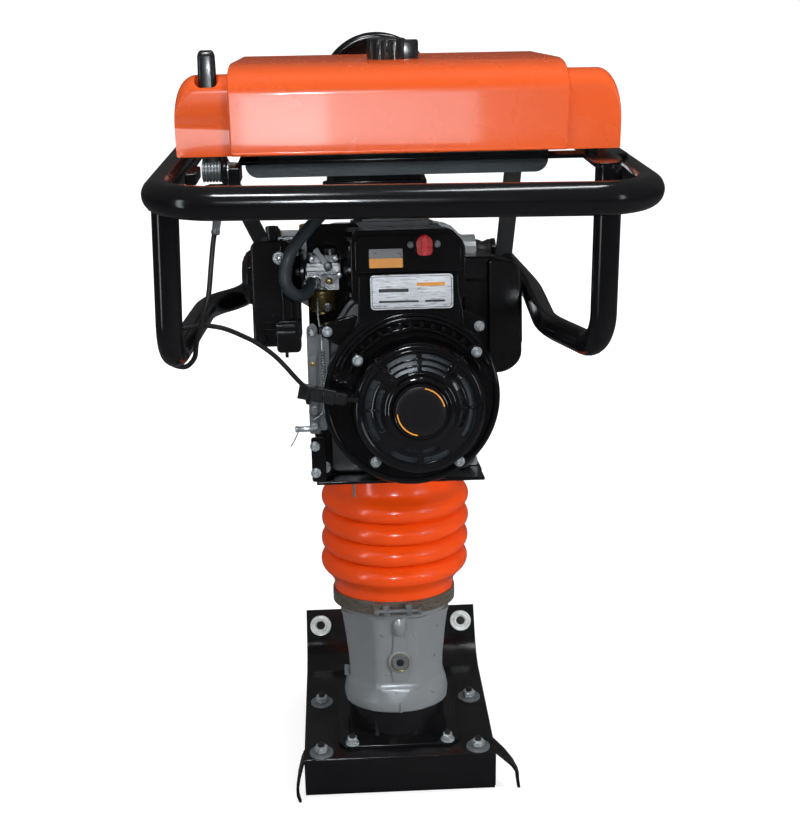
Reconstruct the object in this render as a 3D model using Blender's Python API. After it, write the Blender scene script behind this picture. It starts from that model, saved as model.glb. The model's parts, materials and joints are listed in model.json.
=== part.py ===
"""Tamping rammer (jumping jack): shoe, sprung leg, bellows, gear case, engine, handle and tank.

World frame: +Z up, +X to the operator's right, +Y forward, origin at the centre of the sole.
The leg leans forward, so the leg and the engine are drawn in a tilted frame (empty "leg_axis"):
x across, y fore and aft, z up along the leg. Metres throughout.
"""
import math

import bmesh
import bpy
from mathutils import Euler, Matrix, Vector

# ---------------------------------------------------------------- driving dimensions
LEAN = math.radians(9.0)
LEG_BASE = (0.0, -0.070, 0.065)
GAP = 0.0003

SHOE_WIDTH = 0.275
SHOE_REAR = -0.178
SHOE_TOP = 0.065
SHOE_SKIN = 0.006
TOE_START = 0.060
TOE_RADIUS = 0.140
TOE_ANGLE = math.radians(55.0)
TOE_LENGTH = 0.045

CRANK_X = 0.018
CRANK_Z = 0.545
GEAR_MODULE = 0.0045
PINION_TEETH = 8
GEAR_TEETH = 32
GEAR_DISTANCE = GEAR_MODULE * (PINION_TEETH + GEAR_TEETH) / 2
GEAR_Z = CRANK_Z + math.sqrt(GEAR_DISTANCE ** 2 - CRANK_X ** 2)
CRANK_THROW = 0.030
WRIST_Z = 0.470

MOUNT_Y = 0.0
MOUNT_Z = 0.750
BAR_Y = -0.583
BAR_Z = 0.931
TUBE_R = 0.016
DROP_R = 0.0135
FRAME_X = 0.236
PLATE_Z = (0.9455, 0.9495)
EAR_X = 0.164
EAR_TOP = 0.6500

COVER_BOTTOM = 0.956
COVER_HALF = 0.2257
COVER_FRONT = -0.448
COVER_REAR = -0.165
SHOULDER_Y = -0.388
SHOULDER_Z = 1.0434
CREASE_Z = 1.0195
TOP_SLOPE = 0.0354
CAP_AT = (0.000, -0.355)
CAP_SEAT = 1.0451
EYE_AT = (-0.0115, -0.080, 0.9836)
EYE_R = 0.066
THROTTLE_AT = (-0.192, -0.430, 0.940)

QUARTER = math.pi / 2
LEG_STEPS = 30

# ---------------------------------------------------------------- scene set-up
for old in list(bpy.data.objects):
    bpy.data.objects.remove(old, do_unlink=True)

parts = bpy.data.collections.new("tamping_rammer")
cutters = bpy.data.collections.new("tamping_rammer_cutters")
bpy.context.scene.collection.children.link(parts)
bpy.context.scene.collection.children.link(cutters)


def empty(name, at, turn=(0, 0, 0)):
    pivot = bpy.data.objects.new(name, None)
    pivot.empty_display_size = 0.03
    pivot.location = at
    pivot.rotation_euler = turn
    parts.objects.link(pivot)
    return pivot


leg = empty("leg_axis", LEG_BASE, (-LEAN, 0, 0))


def material(name, colour, roughness, metallic):
    made = bpy.data.materials.new(name)
    made.use_nodes = True
    shader = made.node_tree.nodes["Principled BSDF"]
    shader.inputs["Base Color"].default_value = (*colour, 1.0)
    shader.inputs["Roughness"].default_value = roughness
    shader.inputs["Metallic"].default_value = metallic
    made.diffuse_color = (*colour, 1.0)
    return made


LOOKS = {
    "black_paint": ((0.010, 0.010, 0.012), 0.22, 0.0),
    "black_plastic": ((0.014, 0.014, 0.015), 0.45, 0.0),
    "black_rubber": ((0.020, 0.020, 0.022), 0.75, 0.0),
    "slate_rubber": ((0.030, 0.037, 0.045), 0.60, 0.0),
    "orange_plastic": ((0.760, 0.130, 0.045), 0.30, 0.0),
    "orange_rubber": ((0.800, 0.090, 0.020), 0.30, 0.0),
    "cast_alloy": ((0.360, 0.375, 0.390), 0.45, 0.9),
    "zinc": ((0.600, 0.620, 0.640), 0.30, 1.0),
    "brass": ((0.560, 0.420, 0.160), 0.30, 1.0),
    "steel": ((0.420, 0.420, 0.430), 0.35, 1.0),
    "wood": ((0.300, 0.170, 0.080), 0.60, 0.0),
    "red_plastic": ((0.650, 0.010, 0.015), 0.30, 0.0),
    "silver_label": ((0.620, 0.640, 0.660), 0.30, 0.8),
}


# ---------------------------------------------------------------- solid builders
def turned(bm, at=(0, 0, 0), turn=(0, 0, 0)):
    bm.transform(Matrix.LocRotScale(Vector(at), Euler(turn), None))
    return bm


def block(sx, sy, sz, bevel=0.0, steps=1):
    bm = bmesh.new()
    bmesh.ops.create_cube(bm, size=1.0)
    bmesh.ops.scale(bm, vec=(sx, sy, sz), verts=bm.verts)
    if bevel:
        bmesh.ops.bevel(bm, geom=bm.edges[:], offset=bevel, segments=steps, profile=0.5, affect="EDGES")
    return bm


def span_block(x, y, z, bevel=0.0, steps=1):
    """A block given by its low and high ends along each axis."""
    bm = block(x[1] - x[0], y[1] - y[0], z[1] - z[0], bevel, steps)
    return turned(bm, ((x[0] + x[1]) / 2, (y[0] + y[1]) / 2, (z[0] + z[1]) / 2))


def loft(rings, closed=False):
    """Skin matching rings of points; the ends are capped unless the rings close on themselves."""
    bm = bmesh.new()
    made = [[bm.verts.new(p) for p in ring] for ring in rings]
    count = len(made[0])
    pairs = list(zip(made, made[1:]))
    if closed:
        pairs.append((made[-1], made[0]))
    for low, high in pairs:
        for i in range(count):
            j = (i + 1) % count
            bm.faces.new((low[i], low[j], high[j], high[i]))
    if not closed:
        bm.faces.new(made[0][::-1])
        bm.faces.new(made[-1])
    return bm


def circle(r, steps, z=0.0, start=0.0):
    angles = [start + 2 * math.pi * i / steps for i in range(steps)]
    return [(r * math.cos(a), r * math.sin(a), z) for a in angles]


def rod(r, length, steps=16, chamfer=0.0):
    """A round bar about Z, centred, with small chamfers on its ends."""
    h = length / 2
    if not chamfer:
        return loft([circle(r, steps, -h), circle(r, steps, h)])
    small = r - chamfer
    heights = ((small, -h), (r, -h + chamfer), (r, h - chamfer), (small, h))
    return loft([circle(a, steps, z) for a, z in heights])


def lathe(profile, steps=20):
    """Turn (radius, z) pairs about Z. The profile runs from bottom to top and is capped flat."""
    return loft([circle(r, steps, z) for r, z in profile])


def ring(profile, steps=24):
    """Turn a closed loop of (radius, z) pairs about Z, for a hollow round piece."""
    return loft([circle(r, steps, z) for r, z in profile], closed=True)


def sleeve(inner, outer, low, high, steps=24):
    return ring([(inner, low), (outer, low), (outer, high), (inner, high)], steps)


def prism(outline, low, high):
    """A flat outline in XY pulled from z = low to z = high."""
    return loft([[(x, y, low) for x, y in outline], [(x, y, high) for x, y in outline]])


def slab(outline, low, high):
    """A flat outline in XZ pulled from y = low to y = high."""
    return loft([[(x, low, z) for x, z in outline], [(x, high, z) for x, z in outline]])


def side_slab(outline, low, high):
    """A flat outline in YZ pulled from x = low to x = high."""
    return loft([[(low, y, z) for y, z in outline], [(high, y, z) for y, z in outline]])


def rounded(points, radii, steps=4):
    """Replace each corner of an outline with a short arc made by a quadratic blend."""
    out = []
    count = len(points)
    for i, here in enumerate(points):
        r = radii[i] if isinstance(radii, (list, tuple)) else radii
        p = Vector(here)
        before = Vector(points[i - 1]) - p
        after = Vector(points[(i + 1) % count]) - p
        if r <= 0:
            out.append(tuple(p))
            continue
        a = p + before.normalized() * r
        b = p + after.normalized() * r
        for k in range(steps + 1):
            t = k / steps
            out.append(tuple(a * (1 - t) ** 2 + p * 2 * t * (1 - t) + b * t * t))
    return out


def rounded_box(x, z, radius, steps=4):
    return rounded([(x[0], z[0]), (x[1], z[0]), (x[1], z[1]), (x[0], z[1])], radius, steps)


def bent_path(points, radius, closed=False, steps=4):
    """A polyline with its corners rounded, for tubes."""
    if closed:
        return rounded(points, radius, steps)
    inner = rounded([points[0]] + list(points[1:-1]) + [points[-1]], radius, steps)
    return [points[0]] + inner[steps + 1:-(steps + 1)] + [points[-1]]


def sweep(path, r, sides=12, closed=False):
    """A round bar along a path, its ring of points carried along without twisting."""
    pts = [Vector(p) for p in path]
    count = len(pts)
    rings = []
    normal = None
    for i, p in enumerate(pts):
        before = pts[i - 1] if i or closed else p
        after = pts[(i + 1) % count] if i < count - 1 or closed else p
        ahead = (after - before).normalized()
        if normal is None:
            start = Vector((0, 0, 1)) if abs(ahead.z) < 0.9 else Vector((1, 0, 0))
            normal = start.cross(ahead).normalized()
        normal = (normal - ahead * normal.dot(ahead)).normalized()
        side = ahead.cross(normal)
        bend = 1.0
        if 0 < i < count - 1 or closed:
            turn = (p - before).normalized().dot((after - p).normalized())
            bend = 1.0 / max(0.7, math.sqrt((1 + turn) / 2))
        angles = [2 * math.pi * k / sides for k in range(sides)]
        rings.append([p + (normal * math.cos(a) + side * math.sin(a)) * r * bend for a in angles])
    return loft(rings, closed)


def smooth_path(points, per_span=4):
    """A Catmull-Rom line through the points, for hoses and cables."""
    p = [Vector(points[0])] + [Vector(q) for q in points] + [Vector(points[-1])]
    out = []
    for i in range(1, len(p) - 2):
        for k in range(per_span):
            t = k / per_span
            a = 2 * p[i]
            b = p[i + 1] - p[i - 1]
            c = 2 * p[i - 1] - 5 * p[i] + 4 * p[i + 1] - p[i + 2]
            d = 3 * p[i] - p[i - 1] - 3 * p[i + 1] + p[i + 2]
            out.append((a + b * t + c * t * t + d * t ** 3) / 2)
    out.append(p[-1])
    return out


def gear_outline(teeth, phase):
    """Straight-sided teeth, thin enough to run with clear backlash."""
    pitch = GEAR_MODULE * teeth / 2
    tip = pitch + GEAR_MODULE * 0.7
    root = pitch - GEAR_MODULE * 0.9
    step = 2 * math.pi / teeth
    out = []
    for i in range(teeth):
        a = phase + i * step
        for r, w in ((root, -0.30), (tip, -0.11), (tip, 0.11), (root, 0.30)):
            out.append((r * math.cos(a + w * step), r * math.sin(a + w * step)))
    return out


def arc_slot(r_in, r_out, start, end, low, high, steps=4):
    """A curved slot about Y, cut from y = low to y = high; angles in degrees from +X towards +Z."""
    angles = [math.radians(start + (end - start) * i / steps) for i in range(steps + 1)]
    outer = [(r_out * math.cos(a), r_out * math.sin(a)) for a in angles]
    inner = [(r_in * math.cos(a), r_in * math.sin(a)) for a in reversed(angles)]
    return slab(outer + inner, low, high)


# ---------------------------------------------------------------- object helpers
def piece(name, bm, finish, parent=None, at=(0, 0, 0), turn=(0, 0, 0)):
    """Turn a bmesh into a named sub-part with its own material."""
    bmesh.ops.recalc_face_normals(bm, faces=bm.faces)
    mesh = bpy.data.meshes.new(name)
    bm.to_mesh(mesh)
    bm.free()
    colour, roughness, metallic = LOOKS[finish]
    mesh.materials.append(material(name, colour, roughness, metallic))
    made = bpy.data.objects.new(name, mesh)
    made.parent = parent
    made.location = at
    made.rotation_euler = turn
    parts.objects.link(made)
    return made


def operand(target, bm, operation):
    bmesh.ops.recalc_face_normals(bm, faces=bm.faces)
    number = len(target.modifiers) + 1
    name = f"{target.name}_{'cut' if operation == 'DIFFERENCE' else 'add'}_{number}"
    mesh = bpy.data.meshes.new(name)
    bm.to_mesh(mesh)
    bm.free()
    tool = bpy.data.objects.new(name, mesh)
    tool.parent = target
    tool.hide_render = True
    tool.display_type = "WIRE"
    cutters.objects.link(tool)
    step = target.modifiers.new(name, "BOOLEAN")
    step.operation = operation
    step.solver = "EXACT"
    step.object = tool


def add(target, *solids):
    for bm in solids:
        operand(target, bm, "UNION")


def cut(target, *solids):
    for bm in solids:
        operand(target, bm, "DIFFERENCE")


def hex_head(af, head, low=-0.001):
    """A hexagon head standing up from z = 0, with a little sunk below it to join what it stands on."""
    r = af / math.sqrt(3)
    return loft([circle(r, 6, low), circle(r, 6, head * 0.85), circle(r * 0.85, 6, head)])


def hex_bolt(name, parent, at, turn=(0, 0, 0), af=0.013, head=0.006, washer=0.0, finish="zinc"):
    """A hexagon head on an optional round washer, standing on its origin along +Z."""
    if not washer:
        return piece(name, hex_head(af, head, 0.0), finish, parent, at, turn)
    bolt = piece(name, loft([circle(washer, 16, 0), circle(washer, 16, 0.0025)]), finish, parent, at, turn)
    add(bolt, turned(hex_head(af, head), (0, 0, 0.0020)))
    return bolt


# ---------------------------------------------------------------- foot: shoe
def toe_line(offset):
    """The shoe's side profile at a height above the sole: flat, then curling up at the toe."""
    r = TOE_RADIUS - offset
    line = [(SHOE_REAR, offset), (TOE_START, offset)]
    for i in range(1, 7):
        a = TOE_ANGLE * i / 6
        line.append((TOE_START + r * math.sin(a), TOE_RADIUS - r * math.cos(a)))
    y, z = line[-1]
    line.append((y + TOE_LENGTH * math.cos(TOE_ANGLE), z + TOE_LENGTH * math.sin(TOE_ANGLE)))
    return line


def layer(low, high, rear):
    bottom = [(rear, low)] + toe_line(low)[1:]
    top = [(rear, high)] + toe_line(high)[1:]
    return bottom + top[::-1]


def on_toe(distance, height):
    """World Y and Z at a distance up the toe's straight part and a height off the top plate."""
    y, z = toe_line(SHOE_TOP)[-2]
    y += distance * math.cos(TOE_ANGLE) - height * math.sin(TOE_ANGLE)
    z += distance * math.sin(TOE_ANGLE) + height * math.cos(TOE_ANGLE)
    return y, z


def wing(side):
    """A thin flared skirt at a rear corner, from the top plate out and down to the ground."""
    inner = [
        (0.1332, -0.147, 0.0640), (0.1332, -0.181, 0.0640), (0.1520, -0.184, 0.0005),
        (0.1390, -0.150, 0.022),
    ]
    outer = [(x + 0.0035, y, z) for x, y, z in inner]
    points = [[(side * x, y, z) for x, y, z in row] for row in (inner, outer)]
    bm = loft(points)
    bmesh.ops.triangulate(bm, faces=bm.faces)
    return bm


def build_shoe():
    half = SHOE_WIDTH / 2
    piece("sole_plate", side_slab(layer(0.0, SHOE_SKIN, SHOE_REAR + 0.008), -half, half), "black_paint")
    core = layer(SHOE_SKIN + GAP, SHOE_TOP - SHOE_SKIN - GAP, SHOE_REAR + SHOE_SKIN + 0.001)
    piece("shoe_core", side_slab(core, -half + 0.004, half - 0.004), "wood")
    under = toe_line(SHOE_TOP - SHOE_SKIN)[1:]
    inside = SHOE_REAR + SHOE_SKIN
    flange = [(SHOE_REAR, 0.009), (inside, 0.009), (inside, SHOE_TOP - SHOE_SKIN)]
    top = flange + under + toe_line(SHOE_TOP)[::-1]
    plate = piece("shoe_top_plate", side_slab(top, -half, half), "black_paint")
    add(plate, wing(-1), wing(1))
    rows = (("rear", -0.155), ("mid", -0.020))
    for row, y in rows:
        for side, x in (("left", -0.113), ("right", 0.113)):
            at = (x, y, SHOE_TOP + GAP)
            hex_bolt(f"shoe_bolt_{row}_{side}", None, at, washer=0.017, af=0.017, head=0.010)
    y, z = on_toe(0.0185, GAP)
    for side, x in (("left", -0.1145), ("right", 0.1145)):
        hex_bolt(f"toe_bolt_{side}", None, (x, y, z), (TOE_ANGLE, 0, 0), washer=0.017, af=0.017, head=0.008)


# ---------------------------------------------------------------- foot: leg
def octagon(r, z, corner=0.30):
    """A ring of sixteen points: eight flats with small corners between them."""
    out = []
    for i in range(8):
        middle = math.pi / 4 * i
        for side in (-1, 1):
            a = middle + side * math.pi / 8 * (1 - corner)
            out.append((r * math.cos(a), r * math.sin(a), z))
    return out


def build_foot_casting():
    body = piece("foot_casting", lathe([(0.075, -0.03), (0.075, 0.0350)], 32), "black_paint", leg)
    drop = Matrix.Rotation(LEAN, 4, "X")
    flange = prism(rounded_box((-0.088, 0.088), (-0.088, 0.088), 0.02), 0.0, 0.013)
    flange.transform(drop)
    add(body, flange)
    below = span_block((-0.2, 0.2), (-0.2, 0.2), (-0.1, GAP))
    below.transform(drop)
    cut(body, below)
    for x in (-0.072, 0.072):
        nut = turned(hex_head(0.014, 0.009), (x, -0.073, 0.013))
        nut.transform(drop)
        add(body, nut)


def build_leg_housing():
    low = 0.035 + GAP
    rings = [
        octagon(0.0765, low), octagon(0.0765, 0.058), octagon(0.070, 0.065), octagon(0.0675, 0.075),
        octagon(0.0775, 0.168), octagon(0.0790, 0.174),
    ]
    housing = piece("leg_housing", loft(rings), "cast_alloy", leg)
    add(housing, lathe([(0.0800, 0.1735), (0.0800, 0.216)], LEG_STEPS))
    add(housing, span_block((-0.008, 0.032), (-0.086, -0.05), (0.085, 0.165), 0.004))
    cut(housing, lathe([(0.0503, 0.066), (0.0503, 0.220)], LEG_STEPS))
    centre = 0.012
    hex_bolt(
        "leg_drain_plug", leg, (centre, -0.0863, 0.112), (QUARTER, 0, 0), af=0.019, head=0.008,
        washer=0.013,
    )
    add(housing, turned(rod(0.0075, 0.007, 16, 0.001), (centre, -0.0870, 0.145), (QUARTER, 0, 0)))


def clamp(name, z):
    """A band with a screw block facing the operator."""
    band = piece(name, sleeve(0.0871, 0.0888, z - 0.006, z + 0.006, LEG_STEPS), "steel", leg)
    add(band, span_block((0.000, 0.026), (-0.098, -0.0870), (z - 0.005, z + 0.005)))
    add(band, turned(rod(0.0038, 0.040, 8), (0.013, -0.0925, z), (0, QUARTER, 0)))
    return band


def build_bellows():
    """Four deep folds between two straight necks, as one hollow moulding."""
    outer = [(0.0868, 0.177), (0.0868, 0.216), (0.0885, 0.2275)]
    for z in (0.2455, 0.2780, 0.3110, 0.3425):
        for degrees in (-62, -25, 25, 62):
            a = math.radians(degrees)
            outer.append((0.0895 + 0.0175 * math.cos(a), z + 0.0165 * math.sin(a)))
    outer += [(0.0885, 0.3605), (0.0868, 0.372), (0.0868, 0.411)]
    inner = [(0.0803, 0.411), (0.0803, 0.366), (0.0835, 0.3600)]
    for z in (0.3425, 0.3110, 0.2780, 0.2455):
        inner += [(0.1000, z + 0.006), (0.1000, z - 0.006), (0.0838, z - 0.0163)]
    inner += [(0.0803, 0.222), (0.0803, 0.177)]
    piece("bellows", ring(outer + inner, LEG_STEPS), "orange_rubber", leg)


def coil(name, low, high, r, wire, turns):
    steps = int(turns * 10)
    path = []
    for i in range(steps + 1):
        a = 2 * math.pi * i / 10
        path.append((r * math.cos(a), r * math.sin(a), low + wire + (high - low - 2 * wire) * i / steps))
    piece(name, sweep(path, wire, 5), "steel", leg)


def build_spring_pack():
    tube = ring([(0.0430, 0.080), (0.0430, 0.405), (0.0497, 0.405), (0.0497, 0.0665)], LEG_STEPS)
    cylinder = piece("spring_cylinder", tube, "steel", leg)
    add(cylinder, sleeve(0.0110, 0.0440, 0.3900, 0.4045, LEG_STEPS))
    coil("lower_spring", 0.0815, 0.2215, 0.033, 0.0045, 5)
    coil("upper_spring", 0.2485, 0.3885, 0.033, 0.0045, 5)
    rod_body = lathe([(0.0422, 0.2235), (0.0422, 0.2465), (0.0104, 0.2466), (0.0104, 0.4500)], 24)
    piston = piece("piston_rod", rod_body, "steel", leg)
    add(piston, slab(rounded_box((-0.0135, 0.0135), (0.4490, 0.4835), 0.006, 3), -0.0040, 0.0040))
    cut(piston, turned(rod(0.0062, 0.03, 20), (0, 0, WRIST_Z), (QUARTER, 0, 0)))


# ---------------------------------------------------------------- gear case and drive
def build_crankcase():
    outline = rounded([(-0.100, 0.425), (0.100, 0.425), (0.100, 0.735), (-0.100, 0.735)], 0.030, 3)
    case = piece("crankcase", slab(outline, -0.078, 0.062), "cast_alloy", leg)
    bell = turned(rod(0.078, 0.060, 28), (CRANK_X, -0.101, CRANK_Z), (QUARTER, 0, 0))
    add(case, lathe([(0.0800, 0.3850), (0.0800, 0.4400)], LEG_STEPS), bell)
    y, z = to_leg(MOUNT_Y, MOUNT_Z)
    for side in (-1, 1):
        add(case, turned(rod(0.030, 0.030, 24), (side * 0.107, y, z), (0, QUARTER, 0)))
    add(case, ear(-1), ear(1), breather_lug())
    hollow = rounded([(-0.089, 0.440), (0.089, 0.440), (0.089, 0.724), (-0.089, 0.724)], 0.022, 3)
    cut(case, slab(hollow, -0.064, 0.070))
    cut(case, lathe([(0.0503, 0.380), (0.0503, 0.445)], LEG_STEPS))
    cut(case, turned(rod(0.068, 0.050, 28), (CRANK_X, -0.107, CRANK_Z), (QUARTER, 0, 0)))
    cut(case, turned(rod(0.0130, 0.060, 16), (CRANK_X, -0.075, CRANK_Z), (QUARTER, 0, 0)))


def ear(side):
    """A cast arm beside the case that stops the handle arm above it."""
    low = EAR_TOP - 0.0175
    outline = [(0.090, low - 0.0175), (0.118, low), (0.176, low), (0.176, EAR_TOP), (0.090, EAR_TOP)]
    return slab([(side * x, z) for x, z in outline], -0.078, -0.054)


def breather_lug():
    outline = [(-0.090, 0.6900), (-0.118, 0.7075), (-0.150, 0.7075), (-0.150, 0.7300), (-0.090, 0.7300)]
    return slab(outline, -0.078, -0.054)


def to_leg(y, z):
    """Leg-frame Y and Z of a world point."""
    dy = y - LEG_BASE[1]
    dz = z - LEG_BASE[2]
    return dy * math.cos(LEAN) - dz * math.sin(LEAN), dy * math.sin(LEAN) + dz * math.cos(LEAN)


def build_case_fittings():
    outline = rounded([(-0.099, 0.441), (0.099, 0.441), (0.099, 0.734), (-0.099, 0.734)], 0.028, 3)
    cover = piece("crankcase_cover", slab(outline, 0.0623, 0.0720), "cast_alloy", leg)
    add(
        cover,
        turned(
            lathe([(0.060, 0), (0.060, 0.004), (0.052, 0.012)], 24), (0, 0.0700, GEAR_Z), (-QUARTER, 0, 0),
        ),
    )
    for x in (-0.082, 0.082):
        for z in (0.462, 0.588, 0.714):
            add(cover, turned(hex_head(0.013, 0.008), (x, 0.0720, z), (-QUARTER, 0, 0)))
    cap = lathe([(0.0100, 0), (0.0100, 0.006), (0.0075, 0.008)], 16)
    piece("crankcase_breather", cap, "brass", leg, (-0.108, -0.066, 0.7303))
    clamp("upper_clamp", 0.399)


def build_drive():
    drum = lathe([
        (0.0550, -0.1200), (0.0550, -0.0905), (0.0120, -0.0904), (0.0120, -0.0400),
    ], 24)
    pocket = rod(0.0500, 0.030, 24)
    clutch = piece("clutch_drum", drum, "steel", leg, (CRANK_X, 0, CRANK_Z), (-QUARTER, 0, 0))
    cut(clutch, turned(pocket, (0, 0, -0.1100)))
    to_pinion = math.atan2(CRANK_Z - GEAR_Z, CRANK_X)
    to_gear = to_pinion + math.pi
    half_tooth = math.pi / PINION_TEETH
    add(clutch, prism(gear_outline(PINION_TEETH, -to_gear + half_tooth), -0.0405, -0.0150))
    wheel = prism(gear_outline(GEAR_TEETH, -to_pinion), -0.0350, -0.0200)
    gear = piece("crank_gear", wheel, "steel", leg, (0, 0, GEAR_Z), (-QUARTER, 0, 0))
    add(gear, turned(rod(0.0180, 0.030, 24), (0, 0, -0.0480)))
    add(gear, turned(rod(0.0100, 0.027, 20), (CRANK_THROW, 0, -0.0100)))
    rise = GEAR_Z - WRIST_Z
    length = math.hypot(CRANK_THROW, rise)
    big_end = rounded([
        (-0.012, -0.013), (0.012, -0.013), (0.010, 0.03), (0.009, length - 0.02), (0.019, length),
        (0.010, length + 0.018), (-0.010, length + 0.018), (-0.019, length), (-0.009, length - 0.02),
        (-0.010, 0.03),
    ], 0.005, 3)
    rod_turn = math.atan2(CRANK_THROW, rise)
    bar = slab(big_end, 0.0045, 0.0130)
    link = piece("connecting_rod", bar, "steel", leg, (0, 0, WRIST_Z), (0, rod_turn, 0))
    add(link, turned(rod(0.0060, 0.0145, 20), (0, -0.0003, 0), (QUARTER, 0, 0)))
    cut(link, turned(rod(0.0106, 0.04, 24), (0, 0.008, length), (QUARTER, 0, 0)))
    shaft = lathe([(0.0118, -0.3097), (0.0118, -0.1190), (0.0380, -0.1189), (0.0380, -0.0990)], 30)
    piece("crankshaft", shaft, "steel", leg, (CRANK_X, 0, CRANK_Z), (-QUARTER, 0, 0))


# ---------------------------------------------------------------- engine
def build_engine():
    plate = piece(
        "engine_plate", span_block((-0.100, 0.100), (-0.348, -0.0785), (0.4405, 0.4445), 0.001),
        "black_paint", leg,
    )
    add(plate, span_block((-0.100, -0.094), (-0.348, -0.298), (0.442, 0.500), 0.001))
    block_outline = rounded([
        (-0.085, 0.4450), (0.090, 0.4450), (0.090, 0.600), (0.062, 0.655), (-0.050, 0.655), (-0.085, 0.600),
    ], 0.010, 2)
    engine = piece("engine_block", slab(block_outline, -0.305, -0.1315), "cast_alloy", leg)
    cut(engine, turned(rod(0.0125, 0.30, 24), (CRANK_X, -0.22, CRANK_Z), (QUARTER, 0, 0)))
    cut(engine, turned(rod(0.0800, 0.012, 36), (CRANK_X, -0.1300, CRANK_Z), (QUARTER, 0, 0)))
    fins = []
    for i in range(8):
        z = 0.6553 + 0.0112 * i
        for depth, height in ((0.060, z), (0.060, z + 0.005), (0.050, z + 0.0052), (0.050, z + 0.0110)):
            fins.append(square_ring(0.006, depth, height))
    fins += [
        square_ring(0.010, 0.046, 0.7455), square_ring(0.010, 0.046, 0.764),
        square_ring(0.010, 0.036, 0.775),
    ]
    piece("engine_cylinder", loft(fins), "cast_alloy", leg, (0, -0.205, 0))


def square_ring(corner, half, z):
    outline = rounded_box((-half, half), (-half, half), corner, 1)
    return [(x, y, z) for x, y in outline]


def build_shroud():
    """Pressed fan housing: a round drum with a squared upper part, open towards the engine."""
    drum = turned(rod(0.100, 0.0640, 36, 0.006), (CRANK_X, -0.3400, CRANK_Z + 0.002), (QUARTER, 0, 0))
    shroud = piece("fan_shroud", drum, "black_paint", leg)
    upper = [
        (-0.052, 0.600), (-0.052, 0.737), (-0.045, 0.7475), (0.062, 0.7475), (0.078, 0.727), (0.078, 0.600),
    ]
    add(shroud, slab(upper, -0.3720, -0.3085))
    add(shroud, slab([(-0.090, 0.610), (-0.090, 0.636), (-0.040, 0.650), (-0.040, 0.590)], -0.3600, -0.3400))
    add(shroud, slab([(0.060, 0.600), (0.104, 0.612), (0.104, 0.640), (0.060, 0.660)], -0.3600, -0.3400))
    cut(shroud, turned(rod(0.0905, 0.070, 30), (CRANK_X, -0.3330, CRANK_Z + 0.002), (QUARTER, 0, 0)))
    room = [
        (-0.046, 0.560), (-0.046, 0.735), (-0.042, 0.7415), (0.060, 0.7415), (0.072, 0.725),
        (0.072, 0.560),
    ]
    cut(shroud, slab(room, -0.3680, -0.3070))
    cut(shroud, turned(rod(0.0700, 0.080, 30), (CRANK_X, -0.3400, CRANK_Z), (QUARTER, 0, 0)))
    screws = (
        (-0.0800, -0.3600, 0.6240), (0.0945, -0.3600, 0.6277), (-0.0500, -0.3720, 0.6010),
        (0.0940, -0.3720, 0.5985), (-0.0340, -0.3720, 0.4735), (0.0690, -0.3720, 0.4735),
    )
    base = lathe([(0.0170, -0.002), (0.0170, 0.003), (0.0110, 0.005)], 20)
    add(shroud, turned(base, (0.031, -0.3720, 0.722), (QUARTER, 0, 0)))
    for at in screws:
        add(shroud, turned(hex_head(0.010, 0.006), at, (QUARTER, 0, 0)))
    blades = []
    for i in range(16):
        a = math.pi / 8 * i
        for r, w in ((0.058, -0.10), (0.084, -0.04), (0.084, 0.04), (0.058, 0.10)):
            blades.append((r * math.cos(a + w), r * math.sin(a + w)))
    wheel = piece(
        "flywheel_fan", prism(blades, -0.345, -0.3100), "cast_alloy", leg, (CRANK_X, 0, CRANK_Z),
        (-QUARTER, 0, 0),
    )
    add(wheel, turned(rod(0.030, 0.0230, 24), (0, 0, -0.3560)))


def build_recoil():
    """Starter cover with vents, its centre badge, the pulley behind it and the pull grip."""
    profile = [
        (0.0600, -0.3723), (0.0600, -0.3860), (0.0200, -0.4080), (0.0040, -0.4080),
        (0.0040, -0.4120), (0.0300, -0.4120), (0.0640, -0.3960), (0.0790, -0.3780), (0.0790, -0.3723),
    ]
    cover = piece(
        "recoil_cover", ring(profile, 32), "black_paint", leg, (CRANK_X, 0, CRANK_Z), (-QUARTER, 0, 0),
    )
    add(
        cover,
        slab_turned([(-0.034, -0.070), (-0.042, -0.098), (0.050, -0.098), (0.044, -0.070)], -0.3790, -0.3723),
    )
    vents = (
        (0.044, 0.056, -40, 10), (0.044, 0.056, 170, 220), (0.044, 0.056, 250, 290),
        (0.036, 0.044, 55, 125), (0.049, 0.057, 55, 125),
    )
    for r_in, r_out, start, end in vents:
        slot = arc_slot(r_in, r_out, start, end, -0.44, -0.36)
        slot.transform(Matrix.Rotation(QUARTER, 4, "X"))
        cut(cover, slot)
    badge = lathe([(0.0285, 0), (0.0285, -0.0020), (0.0265, -0.0030)], 28)
    piece("recoil_badge", badge, "black_plastic", leg, (CRANK_X, -0.4123, CRANK_Z), (-QUARTER, 0, 0))
    spool = lathe(
        [(0.012, -0.3975), (0.020, -0.3974), (0.046, -0.3880), (0.046, -0.3740), (0.030, -0.3720)], 24,
    )
    piece("recoil_pulley", spool, "black_plastic", leg, (CRANK_X, 0, CRANK_Z), (-QUARTER, 0, 0))
    grip = lathe(
        [
            (0.0050, -0.030), (0.0085, -0.024), (0.0085, -0.006), (0.0070, 0), (0.0085, 0.006),
            (0.0085, 0.024), (0.0050, 0.030),
        ],
        14,
    )
    piece("recoil_grip", grip, "black_rubber", leg, (-0.0870, -0.4080, 0.5585), (0, QUARTER + 0.22, 0))


def slab_turned(outline, low, high):
    """An outline drawn in the engine's X and downward Z, for pieces built about the crank axis."""
    return loft([[(x, z, low) for x, z in outline], [(x, z, high) for x, z in outline]])


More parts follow.
